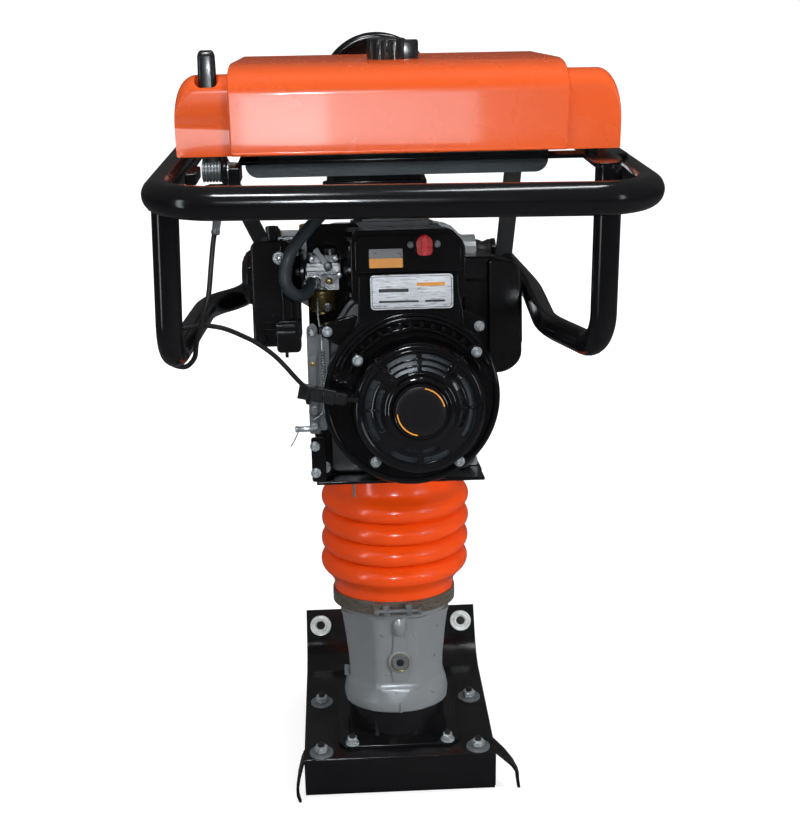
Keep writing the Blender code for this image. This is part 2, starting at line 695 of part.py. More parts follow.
def build_shroud_fittings():
    label = slab(rounded_box((-0.031, 0.0634), (0.6490, 0.6886), 0.003, 2), -0.3738, -0.3723)
    piece("label_plate", label, "silver_label", leg)
    knob = loft([rounded_xy(0.0095, 0.006, 0.0053), rounded_xy(0.0085, 0.005, 0.016)])
    piece("stop_switch_knob", knob, "red_plastic", leg, (0.031, -0.3723, 0.722), (QUARTER, 0, 0))


def rounded_xy(hx, hy, z):
    return [(x, y, z) for x, y in rounded_box((-hx, hx), (-hy, hy), 0.003, 2)]


def build_intake():
    body = piece(
        "carburettor", span_block((-0.112, -0.062), (-0.312, -0.268), (0.6672, 0.7100), 0.003), "zinc",
        leg,
    )
    add(body, turned(rod(0.013, 0.012, 20), (-0.0575, -0.290, 0.690), (0, QUARTER, 0)))
    bowl = lathe([(0.0110, 0.6400), (0.0180, 0.6440), (0.0185, 0.6669)], 24)
    piece("float_bowl", bowl, "brass", leg, (-0.0870, -0.290, 0))
    case_outline = rounded_box((-0.1660, -0.1200), (0.6070, 0.7270), 0.008, 3)
    case = piece("air_cleaner_case", slab(case_outline, -0.342, -0.235), "black_plastic", leg)
    add(case, turned(rod(0.013, 0.0088, 16), (-0.1167, -0.290, 0.690), (0, QUARTER, 0)))
    disc = lathe([(0.0310, 0.0), (0.0310, 0.010), (0.0260, 0.0150)], 28)
    piece("air_cleaner_cap", disc, "black_plastic", leg, (-0.1663, -0.290, 0.6840), (0, -QUARTER, 0))
    wing_nut = loft([rounded_xy(0.009, 0.004, -0.001), rounded_xy(0.013, 0.003, 0.014)])
    add(case, turned(wing_nut, (-0.1500, -0.325, 0.7270)))
    add(case, slab(rounded_box((-0.1400, -0.1080), (0.5980, 0.6385), 0.004, 2), -0.3600, -0.3300))
    choke = piece(
        "choke_lever", span_block((-0.002, 0.002), (-0.0025, 0.0025), (0.0, 0.024), 0.0006), "zinc", leg,
        (-0.0790, -0.3150, 0.6960), (0, -0.6, 0),
    )
    add(choke, turned(rod(0.0045, 0.005, 14), (0, 0, 0), (QUARTER, 0, 0)))


def build_governor():
    """Throttle arm and its bracket beside the fan housing."""
    bracket = piece(
        "control_bracket", span_block((-0.1060, -0.0930), (-0.3440, -0.3410), (0.5020, 0.6300), 0.0008),
        "zinc", leg,
    )
    add(bracket, span_block((-0.0960, -0.0854), (-0.3440, -0.3000), (0.5060, 0.5400), 0.0008))
    arm = piece(
        "control_arm", span_block((-0.004, 0.004), (-0.0012, 0.0012), (-0.010, 0.066), 0.0005), "zinc",
        leg, (-0.0995, -0.3472, 0.530),
    )
    add(arm, turned(rod(0.0065, 0.005, 16), (0, 0.0, 0), (QUARTER, 0, 0)))
    add(bracket, turned(rod(0.0030, 0.020, 10), (-0.1090, -0.3425, 0.5080), (0, QUARTER, 0)))


def build_exhaust():
    outline = rounded_box((0.0950, 0.1570), (0.5580, 0.7050), 0.014, 3)
    guard = piece("muffler_guard", slab(outline, -0.262, -0.136), "black_paint", leg)
    for i in range(4):
        z = 0.590 + 0.027 * i
        cut(guard, slab(rounded_box((0.110, 0.146), (z - 0.004, z + 0.004), 0.003, 1), -0.30, -0.256))
    add(guard, turned(rod(0.0130, 0.0360, 20), (0.0786, -0.205, 0.690), (0, QUARTER, 0)))


# ---------------------------------------------------------------- handle, tank and controls
def build_handle():
    loop = [
        (-FRAME_X, BAR_Y, BAR_Z), (FRAME_X, BAR_Y, BAR_Z), (FRAME_X, EYE_AT[1], BAR_Z),
        (-FRAME_X, EYE_AT[1], BAR_Z),
    ]
    frame = piece("handle_frame", sweep(bent_path(loop, 0.062, True, 4), TUBE_R, 12, True), "black_paint")
    left_arm = [
        (-0.2335, -0.497, BAR_Z), (-0.2400, -0.497, 0.757), (-0.2250, -0.240, 0.750),
        (-0.1830, -0.190, 0.7485), (-0.1600, -0.008, MOUNT_Z),
    ]
    right_arm = [
        (0.2035, -0.497, 0.9475), (0.2035, -0.497, 0.757), (0.1660, -0.364, MOUNT_Z),
        (0.1800, -0.150, 0.738), (0.1600, -0.008, MOUNT_Z),
    ]
    for side, path, name in ((-1, left_arm, "left"), (1, right_arm, "right")):
        add(frame, sweep(bent_path(path, 0.045, False, 3), DROP_R, 10))
        add(frame, turned(rod(0.024, 0.005, 20), (side * 0.1475, MOUNT_Y, MOUNT_Z), (0, QUARTER, 0)))
        stop = (side * EAR_X - 0.012, side * EAR_X + 0.012)
        add(frame, span_block(stop, (-0.045, -0.019), (0.7279, 0.7420)))
        mount = turned(rod(0.0230, 0.0220, 24, 0.002), (side * 0.1335, MOUNT_Y, MOUNT_Z), (0, QUARTER, 0))
        piece(f"rubber_mount_{name}", mount, "black_rubber")
        pad = rod(0.0105, 0.0076, 16)
        piece(f"strut_buffer_{name}", pad, "black_rubber", leg, (side * EAR_X, -0.0660, EAR_TOP + 0.0041))
    plates = (
        ((-0.165, FRAME_X), (-0.435, -0.405)),
        ((-FRAME_X, FRAME_X), (-0.337, -0.313)),
        ((-0.165, -0.145), (-0.435, -0.313)),
        ((0.190, 0.2185), (-0.512, -0.420)),
    )
    for x, y in plates:
        add(frame, span_block(x, y, PLATE_Z))
    add(frame, strut((-0.224, -0.106, 0.9300), (-0.1560, -0.0340, 0.7560)))
    add(frame, strut((0.168, -0.084, 0.9300), (0.1580, -0.0340, 0.7540)))


def strut(top, foot):
    """A flat bar from the frame down to an arm."""
    rings = []
    for x, y, z in (top, foot):
        rings.append(
            [
                (x - 0.010, y - 0.0025, z), (x + 0.010, y - 0.0025, z), (x + 0.010, y + 0.0025, z),
                (x - 0.010, y + 0.0025, z),
            ]
        )
    return loft(rings)


def crown_z(y):
    """Height of the raised middle of the cover: a rounded shoulder, then a gentle fall to the rear."""
    if y >= SHOULDER_Y:
        return SHOULDER_Z - TOP_SLOPE * (y - SHOULDER_Y)
    reach = (SHOULDER_Y - y) / (SHOULDER_Y - COVER_FRONT)
    return CREASE_Z + (SHOULDER_Z - CREASE_Z) * math.sqrt(max(0.0, 1 - reach * reach))


def ear_z(y):
    """Height of the side ears, which fall away faster than the middle."""
    return crown_z(y) - 0.0075 - 0.080 * max(0.0, y + 0.420)


def tank_ring(y, inset):
    """Cross-section of the cover at one place along it."""
    crown = crown_z(y)
    ear = ear_z(y)
    half = COVER_HALF - inset
    right = [(half, COVER_BOTTOM + inset / 2)]
    for i in range(6):
        a = QUARTER * i / 5
        right.append((half - 0.0235 + 0.0235 * math.cos(a), ear - 0.0340 + 0.0340 * math.sin(a)))
    right += [(0.1780, ear), (0.1740, (ear + crown) / 2), (0.1660, crown - 0.0010), (0.1560, crown)]
    left = [(-x, z) for x, z in reversed(right)]
    return [(x, y, z) for x, z in right + left]


def build_tank():
    stations = (-0.446, -0.440, -0.430, -0.415, -0.400, SHOULDER_Y, -0.300, COVER_REAR - 0.010)
    rings = [tank_ring(COVER_FRONT, 0.003)]
    rings += [tank_ring(y, 0.0) for y in stations]
    rings.append(tank_ring(COVER_REAR, 0.006))
    cover = piece("tank_cover", loft(rings), "orange_plastic")
    x, y = CAP_AT
    boss = [(0.052, CAP_SEAT - 0.009), (0.0500, CAP_SEAT - 0.0015), (0.044, CAP_SEAT - 0.0003)]
    add(cover, turned(lathe(boss, 24), (x, y, 0)))
    for foot_x, foot_y in ((0.200, -0.420), (0.205, -0.325), (-0.205, -0.325)):
        add(cover, turned(rod(0.0070, 0.0104, 14), (foot_x, foot_y, 0.9550)))
    cut(cover, span_block((-0.166, 0.166), (-0.436, -0.176), (0.9400, 1.0180)))
    cut(cover, span_block((-0.2035, -0.1805), (-0.440, -0.335), (0.9400, 1.0600)))
    cut(cover, turned(rod(0.0180, 0.05, 24), (x, y, 1.040)))
    low = rounded(
        [(-0.1600, 0.9275), (0.1580, 0.9275), (0.1580, 0.9452), (-0.1600, 0.9452)], [0.010, 0.010, 0, 0],
        3,
    )
    piece("fuel_tank", slab(low, -0.4040, -0.1470), "black_plastic")
    cap = [(0.0165, -0.0161), (0.0165, -0.0002), (0.0275, 0.0), (0.0275, 0.0165), (0.0250, 0.0185)]
    lid = piece("fuel_cap", lathe(cap, 24), "black_plastic", None, (x, y, CAP_SEAT))
    for i in range(3):
        a = 2 * math.pi * i / 3
        lug = block(0.010, 0.008, 0.0150)
        add(lid, turned(lug, (0.0250 * math.cos(a), 0.0250 * math.sin(a), 0.0080), (0, 0, a)))


def build_lift_eye():
    x, y, z = EYE_AT
    foot_z = BAR_Z + TUBE_R + GAP
    arch = []
    for i in range(13):
        a = math.pi * i / 12
        arch.append((x + EYE_R * math.cos(a), y, z + EYE_R * math.sin(a)))
    path = [(x + EYE_R, y, foot_z)] + arch + [(x - EYE_R, y, foot_z)]
    eye = piece("lift_eye", sweep(path, 0.0062, 10), "black_paint")
    reach = EYE_R + 0.012
    add(eye, span_block((x - reach, x + reach), (y - 0.015, y + 0.016), (foot_z, foot_z + 0.0047), 0.001))
    add(eye, slab([(px, pz) for px, py, pz in path], y - 0.0020, y + 0.0020))
    cut(eye, turned(rod(0.0180, 0.02, 20), (x, y, z + 0.028), (QUARTER, 0, 0)))


def build_throttle():
    """Finger lever through the left ear of the cover, its clamp and the cable to the engine."""
    across = (0, QUARTER, 0)
    base = piece(
        "throttle_clamp", turned(rod(0.0115, 0.0160, 20, 0.001), (0.0185, 0, 0), across), "black_plastic",
        None, THROTTLE_AT,
    )
    add(base, span_block((0.0108, 0.0200), (-0.006, 0.006), (-0.0400, 0.0), 0.001))
    add(base, span_block((-0.0020, 0.0180), (-0.006, 0.006), (-0.0400, -0.0135), 0.001))
    lever = piece(
        "throttle_lever", turned(rod(0.0115, 0.0190, 20, 0.001), (0, 0, 0), across), "black_plastic", None,
        THROTTLE_AT,
    )
    add(lever, flat_finger([(0, 0.006), (0.002, 0.030), (0.006, 0.075), (0.009, 0.105), (0.010, 0.119)]))
    path = [
        (-0.1880, -0.4310, 0.8985), (-0.1939, -0.4400, 0.8719), (-0.1971, -0.4480, 0.8482),
        (-0.2010, -0.4550, 0.8180),
        (-0.2054, -0.4580, 0.8023), (-0.2114, -0.4580, 0.7819), (-0.2170, -0.4560, 0.7649),
        (-0.2202, -0.4530, 0.7490),
        (-0.2290, -0.4490, 0.7385), (-0.2390, -0.4465, 0.7378), (-0.2490, -0.4435, 0.7428),
        (-0.2541, -0.4400, 0.7545),
        (-0.2506, -0.4360, 0.7655), (-0.2410, -0.4320, 0.7722), (-0.2310, -0.4270, 0.7745),
        (-0.2174, -0.4210, 0.7750),
        (-0.2031, -0.4150, 0.7719), (-0.1886, -0.4120, 0.7672), (-0.1702, -0.4080, 0.7572),
        (-0.1569, -0.4050, 0.7484),
        (-0.1371, -0.4020, 0.7310), (-0.1159, -0.4000, 0.7047),
    ]
    line = [(x, *to_leg(y, z)) for x, y, z in path]
    cable = piece("throttle_cable", sweep(smooth_path(line, 2), 0.0025, 6), "black_rubber", leg)
    add(cable, turned(rod(0.0042, 0.0200, 10), (-0.1900, *to_leg(-0.4345, 0.8870)), (LEAN + 0.30, 0, 0)))


def flat_finger(points):
    """A wide flat lever through the given Y and Z places, rounded at its tip."""
    rings = []
    widths = [0.0095] * (len(points) - 1) + [0.0062]
    for i, ((y, z), wide) in enumerate(zip(points, widths)):
        deep = 0.0065 - 0.0008 * i
        rings.append([(-wide, y - deep, z), (wide, y - deep, z), (wide, y + deep, z), (-wide, y + deep, z)])
    return loft(rings)


def build_fuel_line():
    tap = piece("fuel_tap", span_block((-0.088, -0.062), (-0.215, -0.190), (0.9050, 0.9272), 0.002), "brass")
    add(tap, turned(rod(0.0050, 0.010, 14), (-0.0750, -0.2180, 0.9140), (QUARTER, 0, 0)))
    lever = piece(
        "fuel_tap_lever", span_block((-0.022, 0.0), (-0.0015, 0.0015), (-0.003, 0.003), 0.0006),
        "red_plastic", None, (-0.0883, -0.2030, 0.9160),
    )
    add(lever, turned(rod(0.0045, 0.004, 12), (-0.0022, 0, 0), (0, QUARTER, 0)))
    line = [
        (-0.0750, -0.2683, 0.7920), (-0.0790, -0.2830, 0.7600), (-0.1060, -0.3380, 0.7370),
        (-0.1240, -0.3550, 0.7130),
        (-0.1290, -0.3555, 0.6880), (-0.1250, -0.3550, 0.6710), (-0.1120, -0.3470, 0.6610),
        (-0.0960, -0.3330, 0.6660),
        (-0.0900, -0.3200, 0.6740),
    ]
    piece("fuel_hose", sweep(smooth_path(line, 2), 0.0070, 10), "slate_rubber", leg)


build_shoe()
build_foot_casting()
build_leg_housing()
clamp("lower_clamp", 0.189)
build_bellows()
build_spring_pack()
build_crankcase()
build_case_fittings()
build_drive()
build_engine()
build_shroud()
build_recoil()
build_shroud_fittings()
build_intake()
build_governor()
build_exhaust()
build_handle()
build_tank()
build_lift_eye()
build_throttle()
build_fuel_line()
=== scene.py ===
"""Looks for the tamping rammer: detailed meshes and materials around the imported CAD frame.

Pieces of the leg and the engine are drawn in the tilted leg frame (x across, y fore and aft,
z up along the leg) and then moved to the world. Metres throughout.
"""

import json
import math

import bmesh
import bpy
from mathutils import Euler, Matrix, Vector, noise

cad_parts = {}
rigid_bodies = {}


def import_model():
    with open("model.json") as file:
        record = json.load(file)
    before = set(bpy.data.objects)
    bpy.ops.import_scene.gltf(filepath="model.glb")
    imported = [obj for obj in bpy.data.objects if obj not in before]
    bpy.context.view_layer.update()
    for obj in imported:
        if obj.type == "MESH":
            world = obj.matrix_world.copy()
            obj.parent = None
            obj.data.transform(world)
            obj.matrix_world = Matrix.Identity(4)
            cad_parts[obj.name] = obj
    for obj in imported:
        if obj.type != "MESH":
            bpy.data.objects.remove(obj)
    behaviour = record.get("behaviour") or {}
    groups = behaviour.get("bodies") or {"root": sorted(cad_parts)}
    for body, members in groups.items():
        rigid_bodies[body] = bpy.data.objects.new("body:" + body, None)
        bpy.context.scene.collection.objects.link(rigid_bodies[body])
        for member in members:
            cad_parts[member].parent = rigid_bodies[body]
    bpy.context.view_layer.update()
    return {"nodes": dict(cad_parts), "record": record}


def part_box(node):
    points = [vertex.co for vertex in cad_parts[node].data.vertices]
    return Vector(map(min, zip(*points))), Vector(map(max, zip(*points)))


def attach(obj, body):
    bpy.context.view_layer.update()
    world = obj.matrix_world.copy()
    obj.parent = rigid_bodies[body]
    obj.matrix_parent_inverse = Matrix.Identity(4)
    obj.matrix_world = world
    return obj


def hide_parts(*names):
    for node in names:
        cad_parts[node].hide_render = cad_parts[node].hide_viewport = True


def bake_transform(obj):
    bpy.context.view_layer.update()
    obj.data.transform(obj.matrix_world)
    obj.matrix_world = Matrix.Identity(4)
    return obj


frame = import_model()

# ---------------------------------------------------------------- the frame's own places
JOINTS = {joint["name"]: joint for joint in frame["record"]["behaviour"]["joints"]}
UP = Vector(JOINTS["ram_stroke"]["axis"]).normalized()
SIDE = Vector((1.0, 0.0, 0.0))
FORE = UP.cross(SIDE)
WRIST_HEIGHT = 0.47
LEG_ORIGIN = Vector(JOINTS["rod_swing"]["pos_m"]) - UP * WRIST_HEIGHT
LEG = Matrix((SIDE, FORE, UP)).transposed().to_4x4()
LEG.translation = LEG_ORIGIN
TO_LEG = LEG.inverted()
WORLD = Matrix.Identity(4)
QUARTER = math.pi / 2
TAU = math.pi * 2


def leg_box(node):
    """Lowest and highest corner of a CAD node in the leg frame."""
    points = [TO_LEG @ v.co for v in frame["nodes"][node].data.vertices]
    low = Vector([min(p[i] for p in points) for i in range(3)])
    high = Vector([max(p[i] for p in points) for i in range(3)])
    return low, high


def world_box(node):
    low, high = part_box(node)
    return Vector(low), Vector(high)


def middle(box):
    return (box[0] + box[1]) / 2


CRANK = TO_LEG @ Vector(JOINTS["engine_spin"]["pos_m"])
CRANK_X, CRANK_Z = CRANK.x, CRANK.z

# ---------------------------------------------------------------- materials
made_materials = {}


def node(tree, kind, at=(0, 0), **values):
    made = tree.nodes.new(kind)
    made.location = at
    for key, value in values.items():
        setattr(made, key, value)
    return made


def noise_node(tree, coords, scale, detail=4.0, stretch=(1, 1, 1)):
    mapping = node(tree, "ShaderNodeMapping")
    mapping.inputs["Scale"].default_value = stretch
    tree.links.new(coords, mapping.inputs["Vector"])
    made = node(tree, "ShaderNodeTexNoise")
    made.inputs["Scale"].default_value = scale
    made.inputs["Detail"].default_value = detail
    tree.links.new(mapping.outputs["Vector"], made.inputs["Vector"])
    return made.outputs["Fac"]


def ramp(tree, value, low, high, start=0.0, end=1.0):
    made = node(tree, "ShaderNodeMapRange")
    made.inputs["From Min"].default_value = low
    made.inputs["From Max"].default_value = high
    made.inputs["To Min"].default_value = start
    made.inputs["To Max"].default_value = end
    tree.links.new(value, made.inputs["Value"])
    return made.outputs["Result"]


def blend_colour(tree, factor, first, second):
    made = node(tree, "ShaderNodeMix", data_type="RGBA")
    tree.links.new(factor, made.inputs["Factor"])
    for socket, value in (("A", first), ("B", second)):
        target = [i for i in made.inputs if i.name == socket and i.type == "RGBA"][0]
        if isinstance(value, tuple):
            target.default_value = (*value, 1.0)
        else:
            tree.links.new(value, target)
    return [o for o in made.outputs if o.type == "RGBA"][0]


def times(tree, first, second):
    made = node(tree, "ShaderNodeMath", operation="MULTIPLY")
    tree.links.new(first, made.inputs[0])
    if isinstance(second, float):
        made.inputs[1].default_value = second
    else:
        tree.links.new(second, made.inputs[1])
    return made.outputs[0]


def surface(name, colour, roughness, metallic=0.0, coat=0.0, spread=0.08, tint=None, mottle=(9.0, 0.25),
            grain=(900.0, 0.05, 0.0002), waves=(60.0, 0.0, 0.0005), dust=0.0, wear=0.0,
            wear_colour=(0.5, 0.5, 0.5),
            specular=0.5, stretch=(1, 1, 1), sheen=0.0):
    """A Principled surface with mottled colour and roughness, grain, waviness, dust and edge wear."""
    if name in made_materials:
        return made_materials[name]
    made = bpy.data.materials.new(name)
    made.use_nodes = True
    tree = made.node_tree
    shader = tree.nodes["Principled BSDF"]
    coords = node(tree, "ShaderNodeTexCoord").outputs["Object"]
    patches = noise_node(tree, coords, mottle[0], 5.0, stretch)
    other = tint or tuple(c * 0.72 for c in colour)
    base = blend_colour(tree, ramp(tree, patches, 0.35, 0.75, 0.0, mottle[1] * 2), colour, other)
    geometry = node(tree, "ShaderNodeNewGeometry")
    if wear:
        edge = ramp(tree, geometry.outputs["Pointiness"], 0.515, 0.56)
        scuffs = ramp(tree, noise_node(tree, coords, 70.0, 6.0), 0.45, 0.62)
        base = blend_colour(tree, times(tree, times(tree, edge, scuffs), wear), base, wear_colour)
    if dust:
        split = node(tree, "ShaderNodeSeparateXYZ")
        tree.links.new(geometry.outputs["Normal"], split.inputs["Vector"])
        upward = ramp(tree, split.outputs["Z"], 0.35, 1.0)
        cloud = ramp(tree, noise_node(tree, coords, 24.0, 7.0), 0.42, 0.7)
        base = blend_colour(tree, times(tree, times(tree, upward, cloud), dust), base, (0.3, 0.29, 0.27))
    tree.links.new(base, shader.inputs["Base Color"])
    rough_patches = noise_node(tree, coords, mottle[0] * 3.1, 6.0, stretch)
    rough = ramp(tree, rough_patches, 0.3, 0.7, max(0.02, roughness - spread), roughness + spread)
    tree.links.new(rough, shader.inputs["Roughness"])
    shader.inputs["Metallic"].default_value = metallic
    shader.inputs["Coat Weight"].default_value = coat
    shader.inputs["Coat Roughness"].default_value = 0.06
    shader.inputs["Specular IOR Level"].default_value = specular
    shader.inputs["Sheen Weight"].default_value = sheen
    fine = node(tree, "ShaderNodeBump")
    fine.inputs["Strength"].default_value = grain[1]
    fine.inputs["Distance"].default_value = grain[2]
    tree.links.new(noise_node(tree, coords, grain[0], 3.0, stretch), fine.inputs["Height"])
    broad = node(tree, "ShaderNodeBump")
    broad.inputs["Strength"].default_value = waves[1]
    broad.inputs["Distance"].default_value = waves[2]
    tree.links.new(noise_node(tree, coords, waves[0], 2.0), broad.inputs["Height"])
    tree.links.new(fine.outputs["Normal"], broad.inputs["Normal"])
    tree.links.new(broad.outputs["Normal"], shader.inputs["Normal"])
    made_materials[name] = made
    return made


BLACK_PAINT = surface(
    "black_gloss_paint", (0.004, 0.004, 0.0048), 0.15, spread=0.03, mottle=(7.0, 0.2),
    tint=(0.0056, 0.0056, 0.0062),
    grain=(700.0, 0.06, 0.0002), waves=(38.0, 0.16, 0.0006), dust=0.01,
)
STRUT_PAINT = surface(
    "struts_worn_paint", (0.024, 0.025, 0.027), 0.34, spread=0.05, mottle=(10.0, 0.3),
    tint=(0.032, 0.033, 0.035),
    grain=(600.0, 0.08, 0.0002), waves=(40.0, 0.1, 0.0005),
)
SHOE_PAINT = surface(
    "shoe_gloss_paint", (0.0044, 0.0044, 0.0054), 0.16, spread=0.04, mottle=(16.0, 0.3),
    tint=(0.007, 0.0066, 0.007),
    grain=(420.0, 0.08, 0.0003), waves=(26.0, 0.3, 0.001), dust=0.015,
)
ENGINE_PAINT = surface(
    "engine_black_enamel", (0.0046, 0.0048, 0.0058), 0.13, coat=0.3, spread=0.03, mottle=(12.0, 0.2),
    tint=(0.006, 0.0062, 0.0072),
    grain=(420.0, 0.08, 0.0003), waves=(60.0, 0.34, 0.0009), dust=0.01,
)
BLACK_PLASTIC = surface(
    "black_moulded_plastic", (0.0074, 0.0076, 0.0086), 0.24, spread=0.05, mottle=(14.0, 0.2),
    tint=(0.0096, 0.0098, 0.0108),
    grain=(1500.0, 0.2, 0.0002), waves=(30.0, 0.15, 0.0006), dust=0.02,
)
CAP_PLASTIC = surface(
    "black_gloss_plastic", (0.0105, 0.011, 0.0115), 0.2, spread=0.04, mottle=(20.0, 0.2),
    tint=(0.014, 0.0145, 0.015),
    grain=(1200.0, 0.12, 0.0002), waves=(60.0, 0.12, 0.0004),
)
TANK_PLASTIC = surface(
    "slate_tank_plastic", (0.052, 0.07, 0.082), 0.42, spread=0.06, mottle=(26.0, 0.4),
    tint=(0.072, 0.093, 0.108),
    grain=(380.0, 0.8, 0.0007), waves=(40.0, 0.2, 0.0008),
)
RUBBER = surface(
    "black_rubber", (0.0085, 0.0085, 0.0095), 0.4, spread=0.07, mottle=(30.0, 0.3),
    tint=(0.012, 0.012, 0.013),
    grain=(1200.0, 0.2, 0.0003), dust=0.02,
)
SLATE_RUBBER = surface(
    "slate_hose_rubber", (0.024, 0.031, 0.038), 0.44, spread=0.06, mottle=(40.0, 0.25),
    tint=(0.029, 0.037, 0.044),
    grain=(1400.0, 0.2, 0.0002),
)
ORANGE_COVER = surface(
    "orange_gloss_cover", (0.74, 0.094, 0.012), 0.27, coat=0.45, spread=0.012, mottle=(6.0, 0.1),
    tint=(0.71, 0.1, 0.018),
    grain=(650.0, 0.05, 0.0002), waves=(9.0, 0.2, 0.002),
)
ORANGE_RUBBER = surface(
    "orange_gloss_rubber", (0.85, 0.072, 0.004), 0.22, coat=0.3, spread=0.012, mottle=(11.0, 0.1),
    tint=(0.78, 0.064, 0.005),
    grain=(900.0, 0.06, 0.0002), waves=(38.0, 0.16, 0.001),
)
CAST = surface(
    "cast_aluminium", (0.31, 0.332, 0.348), 0.32, metallic=0.42, spread=0.05, mottle=(28.0, 0.2),
    tint=(0.255, 0.27, 0.284),
    grain=(520.0, 0.35, 0.0004), waves=(120.0, 0.16, 0.0005),
)
# A darker, mottled copy of the cast alloy, used for the engine case, its joint and ribs, the cylinder and
# the exhaust pipe.
DARK_CAST = surface(
    "darker_cast_alloy", (0.085, 0.088, 0.092), 0.36, metallic=0.4, spread=0.08, mottle=(24.0, 0.45),
    tint=(0.045, 0.046, 0.048),
    grain=(520.0, 0.4, 0.0004), waves=(120.0, 0.18, 0.0006),
)
ZINC = surface(
    "zinc_plate", (0.5, 0.55, 0.57), 0.26, metallic=0.55, spread=0.08, mottle=(60.0, 0.35),
    tint=(0.36, 0.4, 0.42),
    grain=(1500.0, 0.14, 0.0002),
)
BRIGHT_ZINC = surface(
    "bright_zinc_plate", (0.8, 0.86, 0.85), 0.3, metallic=0.2, spread=0.06, mottle=(70.0, 0.3),
    tint=(0.62, 0.68, 0.68),
    grain=(1500.0, 0.14, 0.0002),
)
DULL_GREY = surface(
    "dull_grey_metal", (0.17, 0.185, 0.195), 0.36, metallic=0.4, spread=0.06, mottle=(60.0, 0.3),
    tint=(0.12, 0.132, 0.14),
    grain=(900.0, 0.2, 0.0002),
)
CARB_ZINC = surface(
    "die_cast_zinc", (0.15, 0.155, 0.16), 0.3, metallic=0.7, spread=0.1, mottle=(55.0, 0.6),
    tint=(0.04, 0.042, 0.045),
    grain=(900.0, 0.4, 0.0003), waves=(160.0, 0.3, 0.0005), wear=0.5, wear_colour=(0.7, 0.7, 0.7),
)
STEEL = surface(
    "dull_steel_band", (0.185, 0.165, 0.135), 0.32, metallic=0.55, spread=0.1, mottle=(35.0, 0.4),
    tint=(0.11, 0.096, 0.078),
    grain=(1400.0, 0.2, 0.0002), stretch=(1, 1, 6),
)
BRASS = surface(
    "yellow_plated_brass", (0.3, 0.225, 0.075), 0.28, metallic=0.6, spread=0.07, mottle=(45.0, 0.4),
    tint=(0.19, 0.14, 0.048),
    grain=(1100.0, 0.2, 0.0002),
)
RED_PLASTIC = surface(
    "red_switch_plastic", (0.52, 0.004, 0.008), 0.25, coat=0.3, mottle=(30.0, 0.2),
    grain=(1500.0, 0.1, 0.0002),
)
WOOD = surface(
    "laminated_core", (0.06, 0.045, 0.032), 0.55, mottle=(20.0, 0.5), tint=(0.03, 0.022, 0.016),
    grain=(220.0, 0.6, 0.0006), stretch=(1, 1, 14),
)
SCREEN = surface(
    "blue_grey_screen", (0.04, 0.05, 0.06), 0.3, metallic=0.2, spread=0.05, mottle=(40.0, 0.3),
    tint=(0.025, 0.031, 0.038),
    grain=(900.0, 0.2, 0.0003),
)
BADGE_FILM = surface(
    "black_badge_film", (0.01, 0.01, 0.0115), 0.34, spread=0.04, mottle=(30.0, 0.2),
    tint=(0.013, 0.013, 0.0145),
    grain=(1400.0, 0.06, 0.0002),
)
AMBER = surface("amber_print", (0.82, 0.33, 0.03), 0.4, mottle=(40.0, 0.15), grain=(900.0, 0.1, 0.0001))
GREY_PRINT = surface("grey_print", (0.13, 0.135, 0.14), 0.32, metallic=0.3, mottle=(40.0, 0.2))
# Dark print for the plate, dark stud ends, and the painted shade inside sockets and wells.
INK_AND_PAINTED_SHADE = surface("dark_print_and_painted_shade", (0.012, 0.012, 0.014), 0.38, mottle=(60.0, 0.2))


def brushed_label():
    """Silver film, brushed sideways, with a painted highlight band across its colour."""
    made = bpy.data.materials.new("brushed_silver_film")
    made.use_nodes = True
    tree = made.node_tree
    shader = tree.nodes["Principled BSDF"]
    coords = node(tree, "ShaderNodeTexCoord").outputs["Object"]
    streaks = noise_node(tree, coords, 60.0, 8.0, (1.0, 18.0, 18.0))
    # Painted highlight: this broad noise band lightens the silver colour up to halfway towards near white.
    band = noise_node(tree, coords, 9.0, 1.0)
    colour = blend_colour(tree, ramp(tree, streaks, 0.3, 0.7), (0.36, 0.37, 0.39), (0.66, 0.67, 0.69))
    colour = blend_colour(tree, ramp(tree, band, 0.45, 0.65, 0.0, 0.5), colour, (0.85, 0.86, 0.88))
    tree.links.new(colour, shader.inputs["Base Color"])
    tree.links.new(ramp(tree, streaks, 0.2, 0.8, 0.22, 0.38), shader.inputs["Roughness"])
    shader.inputs["Metallic"].default_value = 0.75
    return made


LABEL = brushed_label()

# ---------------------------------------------------------------- mesh tools


def turned(bm, at=(0, 0, 0), turn=(0, 0, 0), size=None):
    bm.transform(Matrix.LocRotScale(Vector(at), Euler(turn), Vector(size) if size else None))
    return bm


def merged(*bms):
    """One bmesh holding every shell of the given ones."""
    out = bmesh.new()
    for bm in bms:
        mesh = bpy.data.meshes.new("shell")
        bm.to_mesh(mesh)
        out.from_mesh(mesh)
        bpy.data.meshes.remove(mesh)
        bm.free()
    return out


def loft(rings, closed=False, caps=True):
    bm = bmesh.new()
    made = [[bm.verts.new(p) for p in ring] for ring in rings]
    count = len(made[0])
    pairs = list(zip(made, made[1:]))
    if closed:
        pairs.append((made[-1], made[0]))
    for low, high in pairs:
        for i in range(count):
            j = (i + 1) % count
            bm.faces.new((low[i], low[j], high[j], high[i]))
    if caps and not closed:
        bm.faces.new(made[0][::-1])
        bm.faces.new(made[-1])
    bmesh.ops.recalc_face_normals(bm, faces=bm.faces)
    return bm


def circle(r, steps, z=0.0):
    return [(r * math.cos(TAU * i / steps), r * math.sin(TAU * i / steps), z) for i in range(steps)]


def lathe(profile, steps=40):
    return loft([circle(r, steps, z) for r, z in profile])


def ring(profile, steps=48):
    return loft([circle(r, steps, z) for r, z in profile], closed=True)


